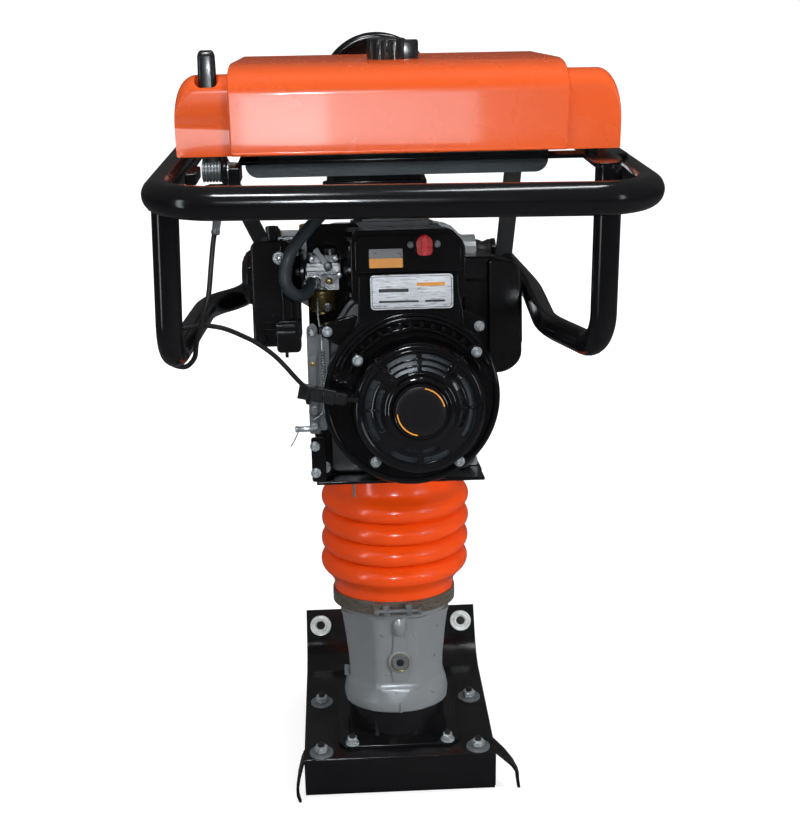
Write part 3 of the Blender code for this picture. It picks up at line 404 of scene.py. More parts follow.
def rod(r, length, steps=28, chamfer=0.0):
    h = length / 2
    if not chamfer:
        return lathe([(r, -h), (r, h)], steps)
    upper = [
        (r - chamfer + chamfer * math.cos(a), h - chamfer + chamfer * math.sin(a))
        for a in (0, QUARTER / 2, QUARTER)
    ]
    lower = [(x, -z) for x, z in reversed(upper)]
    return lathe(lower + upper, steps)


def torus(major, minor, steps=48, sides=12, flat=1.0):
    loop = [
        (major + minor * math.cos(TAU * k / sides), flat * minor * math.sin(TAU * k / sides))
        for k in range(sides)
    ]
    return ring(loop, steps)


def block(x, y, z):
    bm = bmesh.new()
    bmesh.ops.create_cube(bm, size=1.0)
    bmesh.ops.scale(bm, vec=(x[1] - x[0], y[1] - y[0], z[1] - z[0]), verts=bm.verts)
    return turned(bm, ((x[0] + x[1]) / 2, (y[0] + y[1]) / 2, (z[0] + z[1]) / 2))


def slab(outline, low, high):
    """A flat outline in XZ pulled from y = low to y = high."""
    return loft([[(x, low, z) for x, z in outline], [(x, high, z) for x, z in outline]])


def prism(outline, low, high):
    return loft([[(x, y, low) for x, y in outline], [(x, y, high) for x, y in outline]])


def side_slab(outline, low, high):
    return loft([[(low, y, z) for y, z in outline], [(high, y, z) for y, z in outline]])


def fillet(points, setback, steps=6, closed=True):
    """Round the corners of a polyline with true arcs that start a set distance from each corner."""
    out = []
    count = len(points)
    for i, here in enumerate(points):
        p = Vector(here)
        if not closed and i in (0, count - 1):
            out.append(tuple(p))
            continue
        r = setback[i] if isinstance(setback, (list, tuple)) else setback
        u = (Vector(points[i - 1]) - p)
        v = (Vector(points[(i + 1) % count]) - p)
        r = min(r, u.length * 0.49, v.length * 0.49)
        u.normalize()
        v.normalize()
        if r <= 1e-6 or abs(u.dot(v)) > 0.9995:
            out.append(tuple(p))
            continue
        half = math.acos(max(-1, min(1, u.dot(v)))) / 2
        centre = p + (u + v).normalized() * (r / math.cos(half))
        start = p + u * r - centre
        end = p + v * r - centre
        sweep_angle = math.acos(max(-1, min(1, start.normalized().dot(end.normalized()))))
        for k in range(steps + 1):
            t = k / steps
            a = math.sin((1 - t) * sweep_angle) / math.sin(sweep_angle)
            b = math.sin(t * sweep_angle) / math.sin(sweep_angle)
            out.append(tuple(centre + start * a + end * b))
    return out


def box_outline(x, z, r, steps=5):
    return fillet([(x[0], z[0]), (x[1], z[0]), (x[1], z[1]), (x[0], z[1])], r, steps)


def sweep(path, r, sides=24, closed=False, caps=True):
    """A round bar along a path; r may be a function of the share of the way along."""
    pts = [Vector(p) for p in path]
    count = len(pts)
    rings = []
    normal = None
    for i, p in enumerate(pts):
        before = pts[i - 1] if i or closed else p
        after = pts[(i + 1) % count] if i < count - 1 or closed else p
        ahead = (after - before).normalized()
        if normal is None:
            start = Vector((0, 0, 1)) if abs(ahead.z) < 0.9 else Vector((1, 0, 0))
            normal = start.cross(ahead).normalized()
        normal = (normal - ahead * normal.dot(ahead)).normalized()
        side = ahead.cross(normal)
        here = r(i / (count - 1)) if callable(r) else r
        angles = [TAU * k / sides for k in range(sides)]
        rings.append([p + (normal * math.cos(a) + side * math.sin(a)) * here for a in angles])
    return loft(rings, closed, caps)


def smooth_path(points, per_span=10):
    p = [Vector(points[0])] + [Vector(q) for q in points] + [Vector(points[-1])]
    out = []
    for i in range(1, len(p) - 2):
        for k in range(per_span):
            t = k / per_span
            a = 2 * p[i]
            b = p[i + 1] - p[i - 1]
            c = 2 * p[i - 1] - 5 * p[i] + 4 * p[i + 1] - p[i + 2]
            d = 3 * p[i] - p[i - 1] - 3 * p[i + 1] + p[i + 2]
            out.append((a + b * t + c * t * t + d * t ** 3) / 2)
    out.append(p[-1])
    return out


def coil(low, high, r, wire, turns, per_turn=18, sides=8):
    steps = int(turns * per_turn)
    path = []
    for i in range(steps + 1):
        a = TAU * i / per_turn
        path.append((r * math.cos(a), r * math.sin(a), low + (high - low) * i / steps))
    return sweep(path, wire, sides)


def hexagon(af, z, turn=0.0):
    r = af / math.sqrt(3)
    return [(r * math.cos(TAU * i / 6 + turn), r * math.sin(TAU * i / 6 + turn), z) for i in range(6)]


def hex_head(af, height, turn=0.0):
    """A hexagon head with its chamfered crown, standing on z = 0."""
    low = [Vector(p) for p in hexagon(af, 0, turn)]
    mid = [Vector(p) for p in hexagon(af, height * 0.82, turn)]
    top = [Vector(p) for p in hexagon(af * 0.84, height, turn)]
    return loft([low, mid, top])


def flange_bolt(af, height, washer, turn=0.0):
    """A hexagon head on a dished flange, with a recessed crown."""
    base = lathe([(washer, 0), (washer, height * 0.16), (washer * 0.82, height * 0.34)], 28)
    head = turned(hex_head(af, height, turn), (0, 0, height * 0.1))
    crown = turned(torus(af * 0.33, af * 0.05, 20, 6), (0, 0, height * 1.08))
    return merged(base, head, crown)


def stud_nut(af, nut, stud, washer, reach, turn=0.0):
    """Flat washer, split washer, nut and the threaded end of its stud."""
    flat = ring([(stud * 1.05, 0), (washer, 0), (washer, 0.0022), (stud * 1.05, 0.0022)], 36)
    split = turned(rod(af * 0.56, 0.0022, 24, 0.0004), (0, 0, 0.0034))
    head = turned(hex_head(af, nut, turn), (0, 0, 0.0044))
    thread = []
    turns = 7
    for i in range(turns):
        z = 0.0044 + nut + (reach - 0.0005) * i / turns
        thread += [(stud * 0.93, z), (stud, z + reach / turns * 0.5)]
    thread += [(stud * 0.8, 0.0044 + nut + reach)]
    end = lathe([(stud, 0.002)] + thread, 20)
    return merged(flat, split, head, end)


def piece(
    name, bm, look, body, space=LEG, bevel=0.0, angle=32.0, replaces=(), segments=3, at=None,
    turn=(0, 0, 0),
):
    """Make a shown object from a bmesh drawn in the leg or world frame, and hang it on a CAD body."""
    if at is not None:
        turned(bm, at, turn)
    bmesh.ops.recalc_face_normals(bm, faces=bm.faces)
    bm.transform(space)
    mesh = bpy.data.meshes.new(name)
    bm.to_mesh(mesh)
    bm.free()
    mesh.materials.append(look)
    mesh.shade_smooth()
    made = bpy.data.objects.new(name, mesh)
    bpy.context.scene.collection.objects.link(made)
    if bevel:
        step = made.modifiers.new("edges", "BEVEL")
        step.width = bevel
        step.segments = segments
        step.limit_method = "ANGLE"
        step.angle_limit = math.radians(angle)
        step.harden_normals = True
    else:
        mesh.set_sharp_from_angle(angle=math.radians(angle))
    if replaces:
        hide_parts(*replaces)
    if body:
        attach(made, body)
    return made


def repaint(names, look, bevel=0.0):
    """Give CAD nodes that keep their shape a proper material and softened edges."""
    for name in names:
        made = frame["nodes"][name]
        for slot in made.material_slots:
            slot.material = look
        made.data.shade_smooth()
        if bevel:
            step = made.modifiers.new("edges", "BEVEL")
            step.width = bevel
            step.segments = 2
            step.limit_method = "ANGLE"
            step.angle_limit = math.radians(32)
            step.harden_normals = True


# ---------------------------------------------------------------- foot


def build_shoe():
    repaint(["sole_plate"], SHOE_PAINT, 0.0006)
    repaint(["shoe_core"], WOOD, 0.0005)
    left = strip((
        (-0.1362, 0.064, -0.177, -0.15), (-0.14, 0.057, -0.18, -0.154), (-0.1452, 0.039, -0.185, -0.162),
        (-0.1482, 0.023, -0.1875, -0.172), (-0.1482, 0.012, -0.1885, -0.178),
        (-0.145, 0.0012, -0.189, -0.182),
    ), 0.004)
    right = strip((
        (0.135, 0.063, -0.172, -0.135), (0.15, 0.053, -0.18, -0.148), (0.161, 0.044, -0.184, -0.162),
        (0.1672, 0.035, -0.186, -0.172), (0.168, 0.023, -0.187, -0.18), (0.1698, 0.01, -0.188, -0.182),
    ), 0.0048)
    piece(
        "shoe_sheet", merged(shoe_sheet(), left, right), SHOE_PAINT, "foot", WORLD, 0.0008,
        replaces=("shoe_top_plate",),
    )
    for row in ("shoe_bolt_rear", "shoe_bolt_mid"):
        for side in ("left", "right"):
            name = f"{row}_{side}"
            low, high = world_box(name)
            spot = Vector(((low.x + high.x) / 2, (low.y + high.y) / 2 - 0.007, low.z))
            washer = (high.x - low.x) / 2
            turn = 0.3 if side == "left" else 0.9
            base = ring(
                [(0.005, 0), (washer, 0), (washer, 0.0016), (washer - 0.0008, 0.0024), (0.005, 0.0024)],
                40,
            )
            piece(f"{name}_washer", base, DULL_GREY, "foot", WORLD, at=spot)
            nut = merged(
                turned(hex_head(0.0165, 0.0085, turn), (0, 0, 0.0022)), rod(0.0105, 0.0012, 28, 0.0003),
            )
            piece(
                f"{name}_set", nut, ZINC, "foot", WORLD, 0.0003, replaces=(name,),
                at=spot + Vector((0, 0, 0.0014)),
            )
            stud = turned(rod(0.0048, 0.015, 20, 0.0008), (0, 0, 0.009))
            piece(f"{name}_stud", stud, INK_AND_PAINTED_SHADE, "foot", WORLD, at=spot)
    for side in ("left", "right"):
        name = f"toe_bolt_{side}"
        mesh = frame["nodes"][name].data
        low, high = world_box(name)
        washer = (high.x - low.x) / 2
        lean = math.asin(min(1.0, max(0.0, (high.z - low.z - 0.005) / (2 * washer))))
        rim = [v.co for v in mesh.vertices if abs((v.co.x - (low.x + high.x) / 2)) > washer * 0.9]
        spot = sum(rim, Vector()) / len(rim)
        spot.x = (low.x + high.x) / 2
        dished = ring([
            (0.0068, -0.001), (washer, -0.001), (washer, 0.001), (washer - 0.0022, 0.0018),
            (washer - 0.0046, 0.0012),
            (0.0092, 0.0026), (0.007, 0.001),
        ], 48)
        piece(
            f"{name}_set", dished, BRIGHT_ZINC, "foot", WORLD, 0.0002, replaces=(name,), at=spot,
            turn=(lean, 0, 0),
        )
        # Painted shade: a thin dark hexagon in the washer's hole stands in for the shaded hollow of the
        # socket.
        well = hex_head(0.0134, 0.001, 0.2)
        piece(f"{name}_socket", well, INK_AND_PAINTED_SHADE, "foot", WORLD, at=spot, turn=(lean, 0, 0))


def octagon(r, z, corner=0.12, steps=3):
    """Eight flats with rounded corners between them, facing flat to the operator."""
    corners = []
    reach = r / math.cos(math.pi / 8)
    for i in range(8):
        a = math.pi / 8 + math.pi / 4 * i
        corners.append((reach * math.cos(a), reach * math.sin(a)))
    side = 2 * r * math.tan(math.pi / 8)
    return [(x, y, z) for x, y in fillet(corners, side * corner, steps)]


def build_leg():
    """Eight-sided casting: rounded foot flange, waist, taper out to the collar, boss and plug."""
    low, high = leg_box("leg_housing")
    base = low.z
    sections = (
        (0.0742, base), (0.0758, base + 0.0016), (0.077, base + 0.013), (0.0766, base + 0.015),
        (0.0735, base + 0.029),
        (0.0715, base + 0.0345), (0.069, base + 0.038), (0.068, base + 0.043), (0.069, base + 0.07),
        (0.0725, base + 0.105), (0.0765, base + 0.134), (0.0782, base + 0.14), (0.079, base + 0.143),
    )
    body = loft(
        [
            octagon(r, z, 0.46 if z < base + 0.02 else 0.3 if z < base + 0.03 else 0.12)
            for r, z in sections
        ]
    )
    collar = lathe([(0.0786, base + 0.139), (0.0794, base + 0.142), (0.0797, high.z)], 64)
    boss_x = 0.004
    plug_z = base + 0.0765
    rib = loft([
        [(boss_x + x * w, y, z) for x, y in ((-1, -0.055), (1, -0.055), (0.7, depth), (-0.7, depth))]
        for z, w, depth in (
            (base + 0.044, 0.015, -0.069), (base + 0.06, 0.017, -0.0715), (base + 0.09, 0.015, -0.0735),
            (base + 0.12, 0.011, -0.0765), (base + 0.14, 0.012, -0.08),
        )
    ])
    disc = turned(
        lathe([(0.0172, -0.016), (0.0172, 0.0), (0.0158, 0.0018)], 44), (boss_x, -0.0722, plug_z),
        (QUARTER, 0, 0),
    )
    drop = []
    for z, w, depth in (
        (0.116, 0.003, 0.001), (0.12, 0.006, 0.0045), (0.126, 0.0088, 0.0066), (0.132, 0.0098, 0.007),
        (0.138, 0.0092, 0.006), (0.144, 0.007, 0.004),
    ):
        drop.append(
            [
                (
                    boss_x + w * math.cos(TAU * k / 20),
                    -0.0775 - depth * max(0.0, math.sin(TAU * k / 20)) + 0.006 * max(
                        0.0, -math.sin(TAU * k / 20),
                    ),
                    base + z,
                )
                for k in range(20)
            ]
        )
    seam = block((boss_x - 0.0014, boss_x + 0.0014), (-0.079, -0.06), (base + 0.001, base + 0.015))
    nub = block((-0.0765, -0.07), (-0.012, 0.004), (base + 0.036, base + 0.047))
    shell = merged(body, collar, rib, disc, loft(drop), seam, nub)
    piece("leg_casting", shell, CAST, "foot", bevel=0.001, replaces=("leg_housing",), angle=26)
    spot = Vector((boss_x, -0.074, plug_z))
    socket = ring(
        [(0.0052, -0.002), (0.0118, -0.002), (0.012, 0.0016), (0.0108, 0.003), (0.0056, 0.0026)], 36,
    )
    piece(
        "leg_plug_ring", socket, DULL_GREY, "foot", bevel=0.0003, at=spot, turn=(QUARTER, 0, 0),
        replaces=("leg_drain_plug",),
    )
    thread = turned(torus(0.0124, 0.001, 36, 8), (0, 0, 0.0006))
    piece("leg_plug_seal", thread, BRASS, "foot", at=spot + Vector((0, 0, -0.0006)), turn=(QUARTER, 0, 0))
    # Painted shade: a thin dark hexagon in the ring's hole stands in for the shaded hollow of the plug's
    # socket.
    piece("leg_plug_well", hex_head(0.0108, 0.0024), INK_AND_PAINTED_SHADE, "foot", at=spot, turn=(QUARTER, 0, 0))


def build_foot_casting():
    """Black foot under the leg: short barrel and a square flange held by studs."""
    base = leg_box("leg_housing")[0].z
    body = lathe([(0.0705, -0.016), (0.0705, base - 0.004), (0.07, base - 0.0005)], 64)
    piece("foot_barrel", body, SHOE_PAINT, "foot", bevel=0.0008)
    low, high = world_box("foot_casting")
    cx, cy = (low.x + high.x) / 2, LEG_ORIGIN.y
    flange = prism(
        [(cx + x, cy + y) for x, y in box_outline((-0.088, 0.088), (-0.088, 0.088), 0.02, 6)], low.z,
        low.z + 0.006,
    )
    piece("foot_flange", flange, SHOE_PAINT, "foot", WORLD, 0.002, replaces=("foot_casting",))
    for name, x in (("left", -0.068), ("right", 0.07)):
        base = ring([(0.004, 0), (0.0098, 0), (0.0098, 0.0018), (0.004, 0.0018)], 32)
        nut = merged(base, turned(hex_head(0.0135, 0.009, 0.5), (0, 0, 0.0018)))
        piece(
            f"foot_nut_{name}", nut, ZINC, "foot", WORLD, 0.0003, at=(x, -0.15, low.z + 0.006),
            segments=2,
        )
        piece(
            f"foot_stud_{name}", rod(0.0042, 0.03, 18, 0.0008), INK_AND_PAINTED_SHADE, "foot", WORLD,
            at=(x, -0.15, low.z + 0.006),
        )


def band(name, node_name, body, low_z, high_z):
    """A T-bolt band: broad strip, rolled ends, trunnions and the cross bolt."""
    strip_ring = ring(
        [
            (0.0872, low_z), (0.0893, low_z), (0.0896, (low_z + high_z) / 2), (0.0893, high_z),
            (0.0872, high_z),
        ],
        96,
    )
    z = low_z + (high_z - low_z) * 0.42
    screw_x, y = 0.001, -0.093
    straps = []
    lugs = []
    for side in (-1, 1):
        lugs.append(
            turned(
                rod(0.0052, high_z - low_z - 0.003, 20, 0.0008), (screw_x + side * 0.016, y, z + 0.001),
            )
        )
        straps.append(
            block(
                (screw_x + side * 0.025 - 0.009, screw_x + side * 0.025 + 0.009),
                (y + 0.0002, y + 0.0055), (low_z + 0.001, high_z - 0.001),
            )
        )
    piece(name, merged(strip_ring, *straps), STEEL, body, bevel=0.0003, replaces=(node_name,), segments=2)
    bolt = turned(rod(0.003, 0.066, 18), (screw_x, y - 0.002, z), (0, QUARTER, 0))
    head = turned(hex_head(0.0092, 0.006), (screw_x + 0.029, y - 0.002, z), (0, QUARTER, 0))
    nut = turned(hex_head(0.0092, 0.007), (screw_x - 0.033, y - 0.002, z), (0, QUARTER, 0))
    piece(f"{name}_bolt", merged(bolt, head, nut, *lugs), DULL_GREY, body, bevel=0.0003, segments=2)


def build_bellows():
    """Four deep glossy folds between two necks, stretching between the foot and the engine."""
    low, high = leg_box("bellows")
    start_z = low.z + 0.0105
    outer = [
        (0.0865, start_z), (0.0871, start_z + 0.0012), (0.0874, start_z + 0.026), (0.088, low.z + 0.043),
        (0.0905, low.z + 0.048),
    ]
    centres = [0.251, 0.2825, 0.313, 0.3445]
    for number, z in enumerate(centres):
        first, last = (-52 if number == 0 else -74), (52 if number == len(centres) - 1 else 74)
        for k in range(13):
            a = math.radians(first + (last - first) * k / 12)
            outer.append((0.0893 + 0.0178 * math.cos(a), z + 0.0163 * math.sin(a)))
    outer += [
        (0.0905, 0.36), (0.0882, 0.366), (0.0874, 0.3715), (0.0874, high.z - 0.003), (0.0868, high.z),
    ]
    inner = [(r - 0.003, z) for r, z in reversed(outer)]
    shell = ring(outer + inner, 128)
    for v in shell.verts:
        v.co.x += 0.005 * max(0.0, min(1.0, (v.co.z - 0.205) / 0.12))
        lean = max(0.0, min(1.0, (v.co.z - 0.212) / 0.03, (0.376 - v.co.z) / 0.02))
        v.co.z += 0.075 * v.co.y * lean
    made = piece("bellows_moulding", shell, ORANGE_RUBBER, None, angle=60, replaces=("bellows",))
    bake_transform(made)


# ---------------------------------------------------------------- fan housing and starter


def build_shroud():
    """Fan housing: round drum with a squared brow above it, rim bead, apron, lugs, and bolts on pads; its
    arches and grille teeth are made with the starter.
    """
    cx, cz, r = CRANK_X - 0.0045, CRANK_Z + 0.001, 0.1025
    back, face = -0.308, -0.366
    arc = []
    first, last = math.radians(129), math.radians(411)
    for i in range(85):
        a = first + (last - first) * i / 84
        arc.append((cx + r * math.cos(a), cz + r * math.sin(a)))
    upper = fillet([
        (0.079, 0.66), (0.079, 0.722), (0.063, 0.739), (-0.046, 0.739), (-0.0525, 0.73), (-0.0525, 0.655),
    ], [0.006, 0.008, 0.006, 0.006, 0.006, 0.01], 4)
    shell = slab(arc + upper, face, back)
    piece(
        "fan_housing", shell, ENGINE_PAINT, "power_unit", bevel=0.006, angle=40, segments=6,
        replaces=("fan_shroud",),
    )
    lugs = []
    for x, z, tip_x, tip_z in ((-0.08, 0.624, -0.045, 0.618), (0.0945, 0.6277, 0.07, 0.62)):
        outward = math.copysign(0.011, x)
        corners = [
            (x, z + 0.011), (x + outward, z), (x, z - 0.011), (tip_x, tip_z - 0.02),
            (tip_x, tip_z + 0.026),
        ]
        lugs.append(slab(fillet(corners, 0.007, 4), -0.36, -0.348))
    piece("housing_lugs", merged(*lugs), ENGINE_PAINT, "power_unit", bevel=0.002)
    rim = turned(torus(r - 0.0032, 0.004, 96, 10, 0.8), (cx, -0.3655, cz), (QUARTER, 0, 0))
    piece("housing_rim", rim, ENGINE_PAINT, "power_unit")
    brow = fillet([
        (-0.048, 0.6905), (0.074, 0.6905), (0.0745, 0.718), (0.06, 0.7335), (-0.043, 0.7335),
        (-0.048, 0.7265),
    ], 0.004, 3)
    piece("housing_brow", slab(brow, -0.37, -0.364), ENGINE_PAINT, "power_unit", bevel=0.0022)
    apron = fillet([(-0.046, 0.63), (0.073, 0.63), (0.07, 0.689), (-0.044, 0.689)], 0.004, 3)
    piece("housing_apron", slab(apron, -0.3685, -0.364), ENGINE_PAINT, "power_unit", bevel=0.0018)
    screws = (
        ("a", -0.0818, -0.36, 0.6245), ("b", 0.094, -0.36, 0.6262), ("c", -0.0478, -0.38, 0.5925),
        ("d", 0.0888, -0.378, 0.5985), ("e", -0.03, -0.378, 0.473), ("f", 0.0672, -0.378, 0.471),
    )
    for key, x, y, z in screws:
        turn = 0.4 + 0.7 * ord(key)
        pad = turned(
            lathe([(0.0098, 0), (0.0092, 0.0035), (0.008, 0.013)], 28), (x, y + 0.013, z),
            (QUARTER, 0, 0),
        )
        piece(f"housing_pad_{key}", pad, ENGINE_PAINT, "power_unit", bevel=0.0008)
        bolt = flange_bolt(0.0082, 0.0048, 0.0062, turn)
        piece(
            f"housing_bolt_{key}", bolt, ZINC, "power_unit", at=(x, y, z), turn=(QUARTER, 0, 0),
            bevel=0.0003, segments=2,
        )


COVER_X, COVER_Z = CRANK_X + 0.0036, CRANK_Z - 0.008


def vent(angle, r):
    """True where the starter cover is open: fan window on top, arcs at the sides and below."""
    deg = math.degrees(angle) % 360
    if 54 < deg < 126:
        rows = ((0.0455, 0.0495), (0.052, 0.0565), (0.059, 0.0635))
        return abs(deg - 90) > 2.4 and any(a < r < b for a, b in rows)
    if 146 < deg < 214:
        return abs(deg - 180) > 2.0 and ((0.0465 < r < 0.052 and 152 < deg < 208) or 0.0565 < r < 0.0635)
    if deg > 326 or deg < 34:
        return min(deg, 360 - deg) > 2.0 and (
            0.0565 < r < 0.0635 or (0.0465 < r < 0.052 and (deg > 334 or deg < 26))
        )
    if 236 < deg < 304:
        return abs(deg - 270) > 3 and (0.0565 < r < 0.0635 or (0.0465 < r < 0.052 and 244 < deg < 296))
    return False


def cover_height(r):
    """How far the starter cover stands off its rim at a radius."""
    rise = (
        (0.0, 0.033), (0.03, 0.033), (0.0325, 0.035), (0.036, 0.0345), (0.0405, 0.03), (0.066, 0.0215),
        (0.07, 0.0235), (0.074, 0.0215), (0.0775, 0.01), (0.079, 0.0),
    )
    for (r0, h0), (r1, h1) in zip(rise, rise[1:]):
        if r <= r1:
            t = (r - r0) / (r1 - r0)
            t = t * t * (3 - 2 * t)
            return h0 + (h1 - h0) * t
    return 0.0


def build_starter():
    """Vented starter cover made as a polar sheet with its openings left out."""
    around, base_y = 240, -0.3725
    radii = [
        0.004, 0.015, 0.026, 0.03, 0.0325, 0.036, 0.0385, 0.0405, 0.043, 0.0455, 0.0465, 0.0495, 0.052,
        0.054, 0.0565,
        0.059, 0.0612, 0.0635, 0.065, 0.0665, 0.068, 0.07, 0.072, 0.074, 0.0757, 0.0775, 0.0785, 0.079,
    ]
    bm = bmesh.new()
    rows = []
    for r in radii:
        y = base_y - cover_height(r)
        angles = [TAU * i / around for i in range(around)]
        rows.append(
            [bm.verts.new((COVER_X + r * math.cos(a), y, COVER_Z + r * math.sin(a))) for a in angles]
        )
    for k in range(len(radii) - 1):
        mid = (radii[k] + radii[k + 1]) / 2
        for i in range(around):
            if vent(TAU * (i + 0.5) / around, mid):
                continue
            j = (i + 1) % around
            bm.faces.new((rows[k][i], rows[k][j], rows[k + 1][j], rows[k + 1][i]))
    bm.faces.new(rows[0])
    made = piece("starter_cover", bm, ENGINE_PAINT, "power_unit", angle=60, replaces=("recoil_cover",))
    thick = made.modifiers.new("wall", "SOLIDIFY")
    thick.thickness = 0.0024
    thick.offset = -1.0
    soft = made.modifiers.new("edges", "BEVEL")
    soft.width = 0.0009
    soft.segments = 2
    soft.limit_method = "ANGLE"
    soft.angle_limit = math.radians(50)
    profile = [(0.066, -0.002), (0.0655, 0.017), (0.04, 0.0245), (0.03, 0.0245)]
    screen = turned(lathe(profile, 64), (COVER_X, base_y, COVER_Z), (QUARTER, 0, 0))
    piece("starter_screen", screen, SCREEN, "power_unit")
    beads = []
    for deg in (50, 130):
        a = math.radians(deg)
        path = []
        for k in range(9):
            r = 0.04 + 0.0355 * k / 8
            path.append(
                (COVER_X + r * math.cos(a), base_y - cover_height(r) - 0.0005, COVER_Z + r * math.sin(a))
            )
        beads.append(sweep(path, 0.0022, 10))
    for r in (0.0415, 0.0668):
        beads.append(arch(r, 50, 130, base_y - cover_height(r) - 0.0004, 0.0021, COVER_X, COVER_Z, 24))
    piece("starter_cover_ribs", merged(*beads), ENGINE_PAINT, "power_unit")
    teeth = []
    for k in range(14):
        a = math.radians(34 + 108 * k / 13)
        tooth = block((-0.0024, 0.0024), (-0.008, 0.0), (-0.0034, 0.0034))
        turned(
            tooth, (CRANK_X + 0.0868 * math.cos(a), -0.3685, CRANK_Z + 0.0868 * math.sin(a)),
            (0, QUARTER - a, 0),
        )
        teeth.append(tooth)
    piece("housing_grille", merged(*teeth), ENGINE_PAINT, "power_unit", bevel=0.0012)
    for number, (r, y) in enumerate(((0.0815, -0.371), (0.0925, -0.369), (0.0975, -0.368))):
        bead = arch(r, 24, 156, y, 0.0028, CRANK_X, CRANK_Z, 48)
        piece(f"housing_arch_{number}", bead, ENGINE_PAINT, "power_unit")


def build_badge():
    """Blank black badge with an amber ring in two arcs."""
    face = leg_box("recoil_badge")[0].y
    centre = (COVER_X, face + 0.002, COVER_Z)
    dome = lathe(
        [(0.029, -0.0015), (0.029, 0.0004), (0.0282, 0.0012), (0.02, 0.002), (0.008, 0.0023)], 72,
    )
    piece(
        "badge_disc", dome, BADGE_FILM, "power_unit", at=centre, turn=(QUARTER, 0, 0), angle=50,
        replaces=("recoil_badge",),
    )
    arcs = []
    for start, end in ((12, 80), (184, 260)):
        outline = []
        for r, order in ((0.0276, 1), (0.0262, -1)):
            angles = [math.radians(start + (end - start) * k / 20) for k in range(21)][::order]
            outline += [(r * math.cos(a), r * math.sin(a)) for a in angles]
        arcs.append(turned(slab(outline, -0.0006, 0.0006), (COVER_X, face + 0.0002, COVER_Z)))
    piece("badge_amber_arcs", merged(*arcs), AMBER, "power_unit")
    lip = turned(torus(0.0304, 0.0011, 72, 8), (COVER_X, face + 0.0026, COVER_Z), (QUARTER, 0, 0))
    piece("badge_trim", lip, ENGINE_PAINT, "power_unit")


def build_grip():
    """Pull grip of square moulded blocks, and its rope into the starter."""
    low, high = leg_box("recoil_grip")
    at = middle((low, high))
    tilt = 0.22
    blocks = [turned(rod(0.006, 0.054, 20, 0.001), (0, 0, 0), (0, QUARTER, 0))]
    for k, wide in enumerate((0.0134, 0.0134, 0.0134, 0.011)):
        x = -0.029 + 0.0142 * k
        tall = 0.0082 if k < 3 else 0.0066
        blocks.append(block((x, x + wide), (-0.0076, 0.0076), (-tall, tall)))
    grip = merged(*blocks)
    piece(
        "pull_grip", grip, CAP_PLASTIC, "starter_grip", at=at, turn=(0, tilt, 0), bevel=0.0018,
        replaces=("recoil_grip",), segments=3,
    )
    tip = at + Vector((0.03 * math.cos(tilt), 0, -0.03 * math.sin(tilt)))
    guide = Vector((CRANK_X - 0.064, -0.385, CRANK_Z + 0.003))
    rope = sweep(
        smooth_path([tip - Vector((0.004, 0, 0)), (tip + guide) / 2 + Vector((0, -0.001, 0)), guide], 8),
        0.0026, 12,
    )
    made = piece("starter_rope", rope, RUBBER, None)
    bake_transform(made)
    eye = turned(torus(0.0064, 0.0032, 28, 10), guide + Vector((-0.004, 0.002, 0)), (0, QUARTER, 0.5))
    piece("rope_guide", eye, CAP_PLASTIC, "power_unit")


def build_plates():
    low, high = leg_box("label_plate")
    y = low.y + 0.0006
    plate = slab(box_outline((low.x, high.x), (low.z, high.z), 0.0045, 6), y, high.y + 0.001)
    piece("name_plate_blank", plate, LABEL, "power_unit", bevel=0.0004, replaces=("label_plate",))
    border = box_outline((low.x + 0.002, high.x - 0.002), (low.z + 0.002, high.z - 0.002), 0.0035, 5)
    line = sweep([(x, y - 0.0002, z) for x, z in border], 0.00035, 6, closed=True)
    piece("name_plate_border", line, INK_AND_PAINTED_SHADE, "power_unit")
    width, height = high.x - low.x, high.z - low.z
    bars = []
    for left, right, bottom, top in (
        (0.1, 0.46, 0.5, 0.6), (0.1, 0.58, 0.2, 0.26), (0.66, 0.9, 0.2, 0.26),
    ):
        bars.append(
            block(
                (low.x + width * left, low.x + width * right), (y - 0.0003, y),
                (low.z + height * bottom, low.z + height * top),
            )
        )
    piece("name_plate_bars", merged(*bars), INK_AND_PAINTED_SHADE, "power_unit")
    bar = block(
        (low.x + width * 0.56, low.x + width * 0.9), (y - 0.0003, y),
        (low.z + height * 0.66, low.z + height * 0.76),
    )
    piece("name_plate_accent", bar, AMBER, "power_unit")
    x, z = (-0.0314, 0.0068), (0.6965, 0.7178)
    middle_z = z[0] + (z[1] - z[0]) * 0.5
    piece(
        "notice_grey_half", slab(box_outline(x, (middle_z, z[1]), 0.0008, 2), -0.3708, -0.3698),
        GREY_PRINT, "power_unit",
    )
    piece(
        "notice_amber_half", slab(box_outline(x, (z[0], middle_z), 0.0008, 2), -0.3708, -0.3698), AMBER,
        "power_unit",
    )


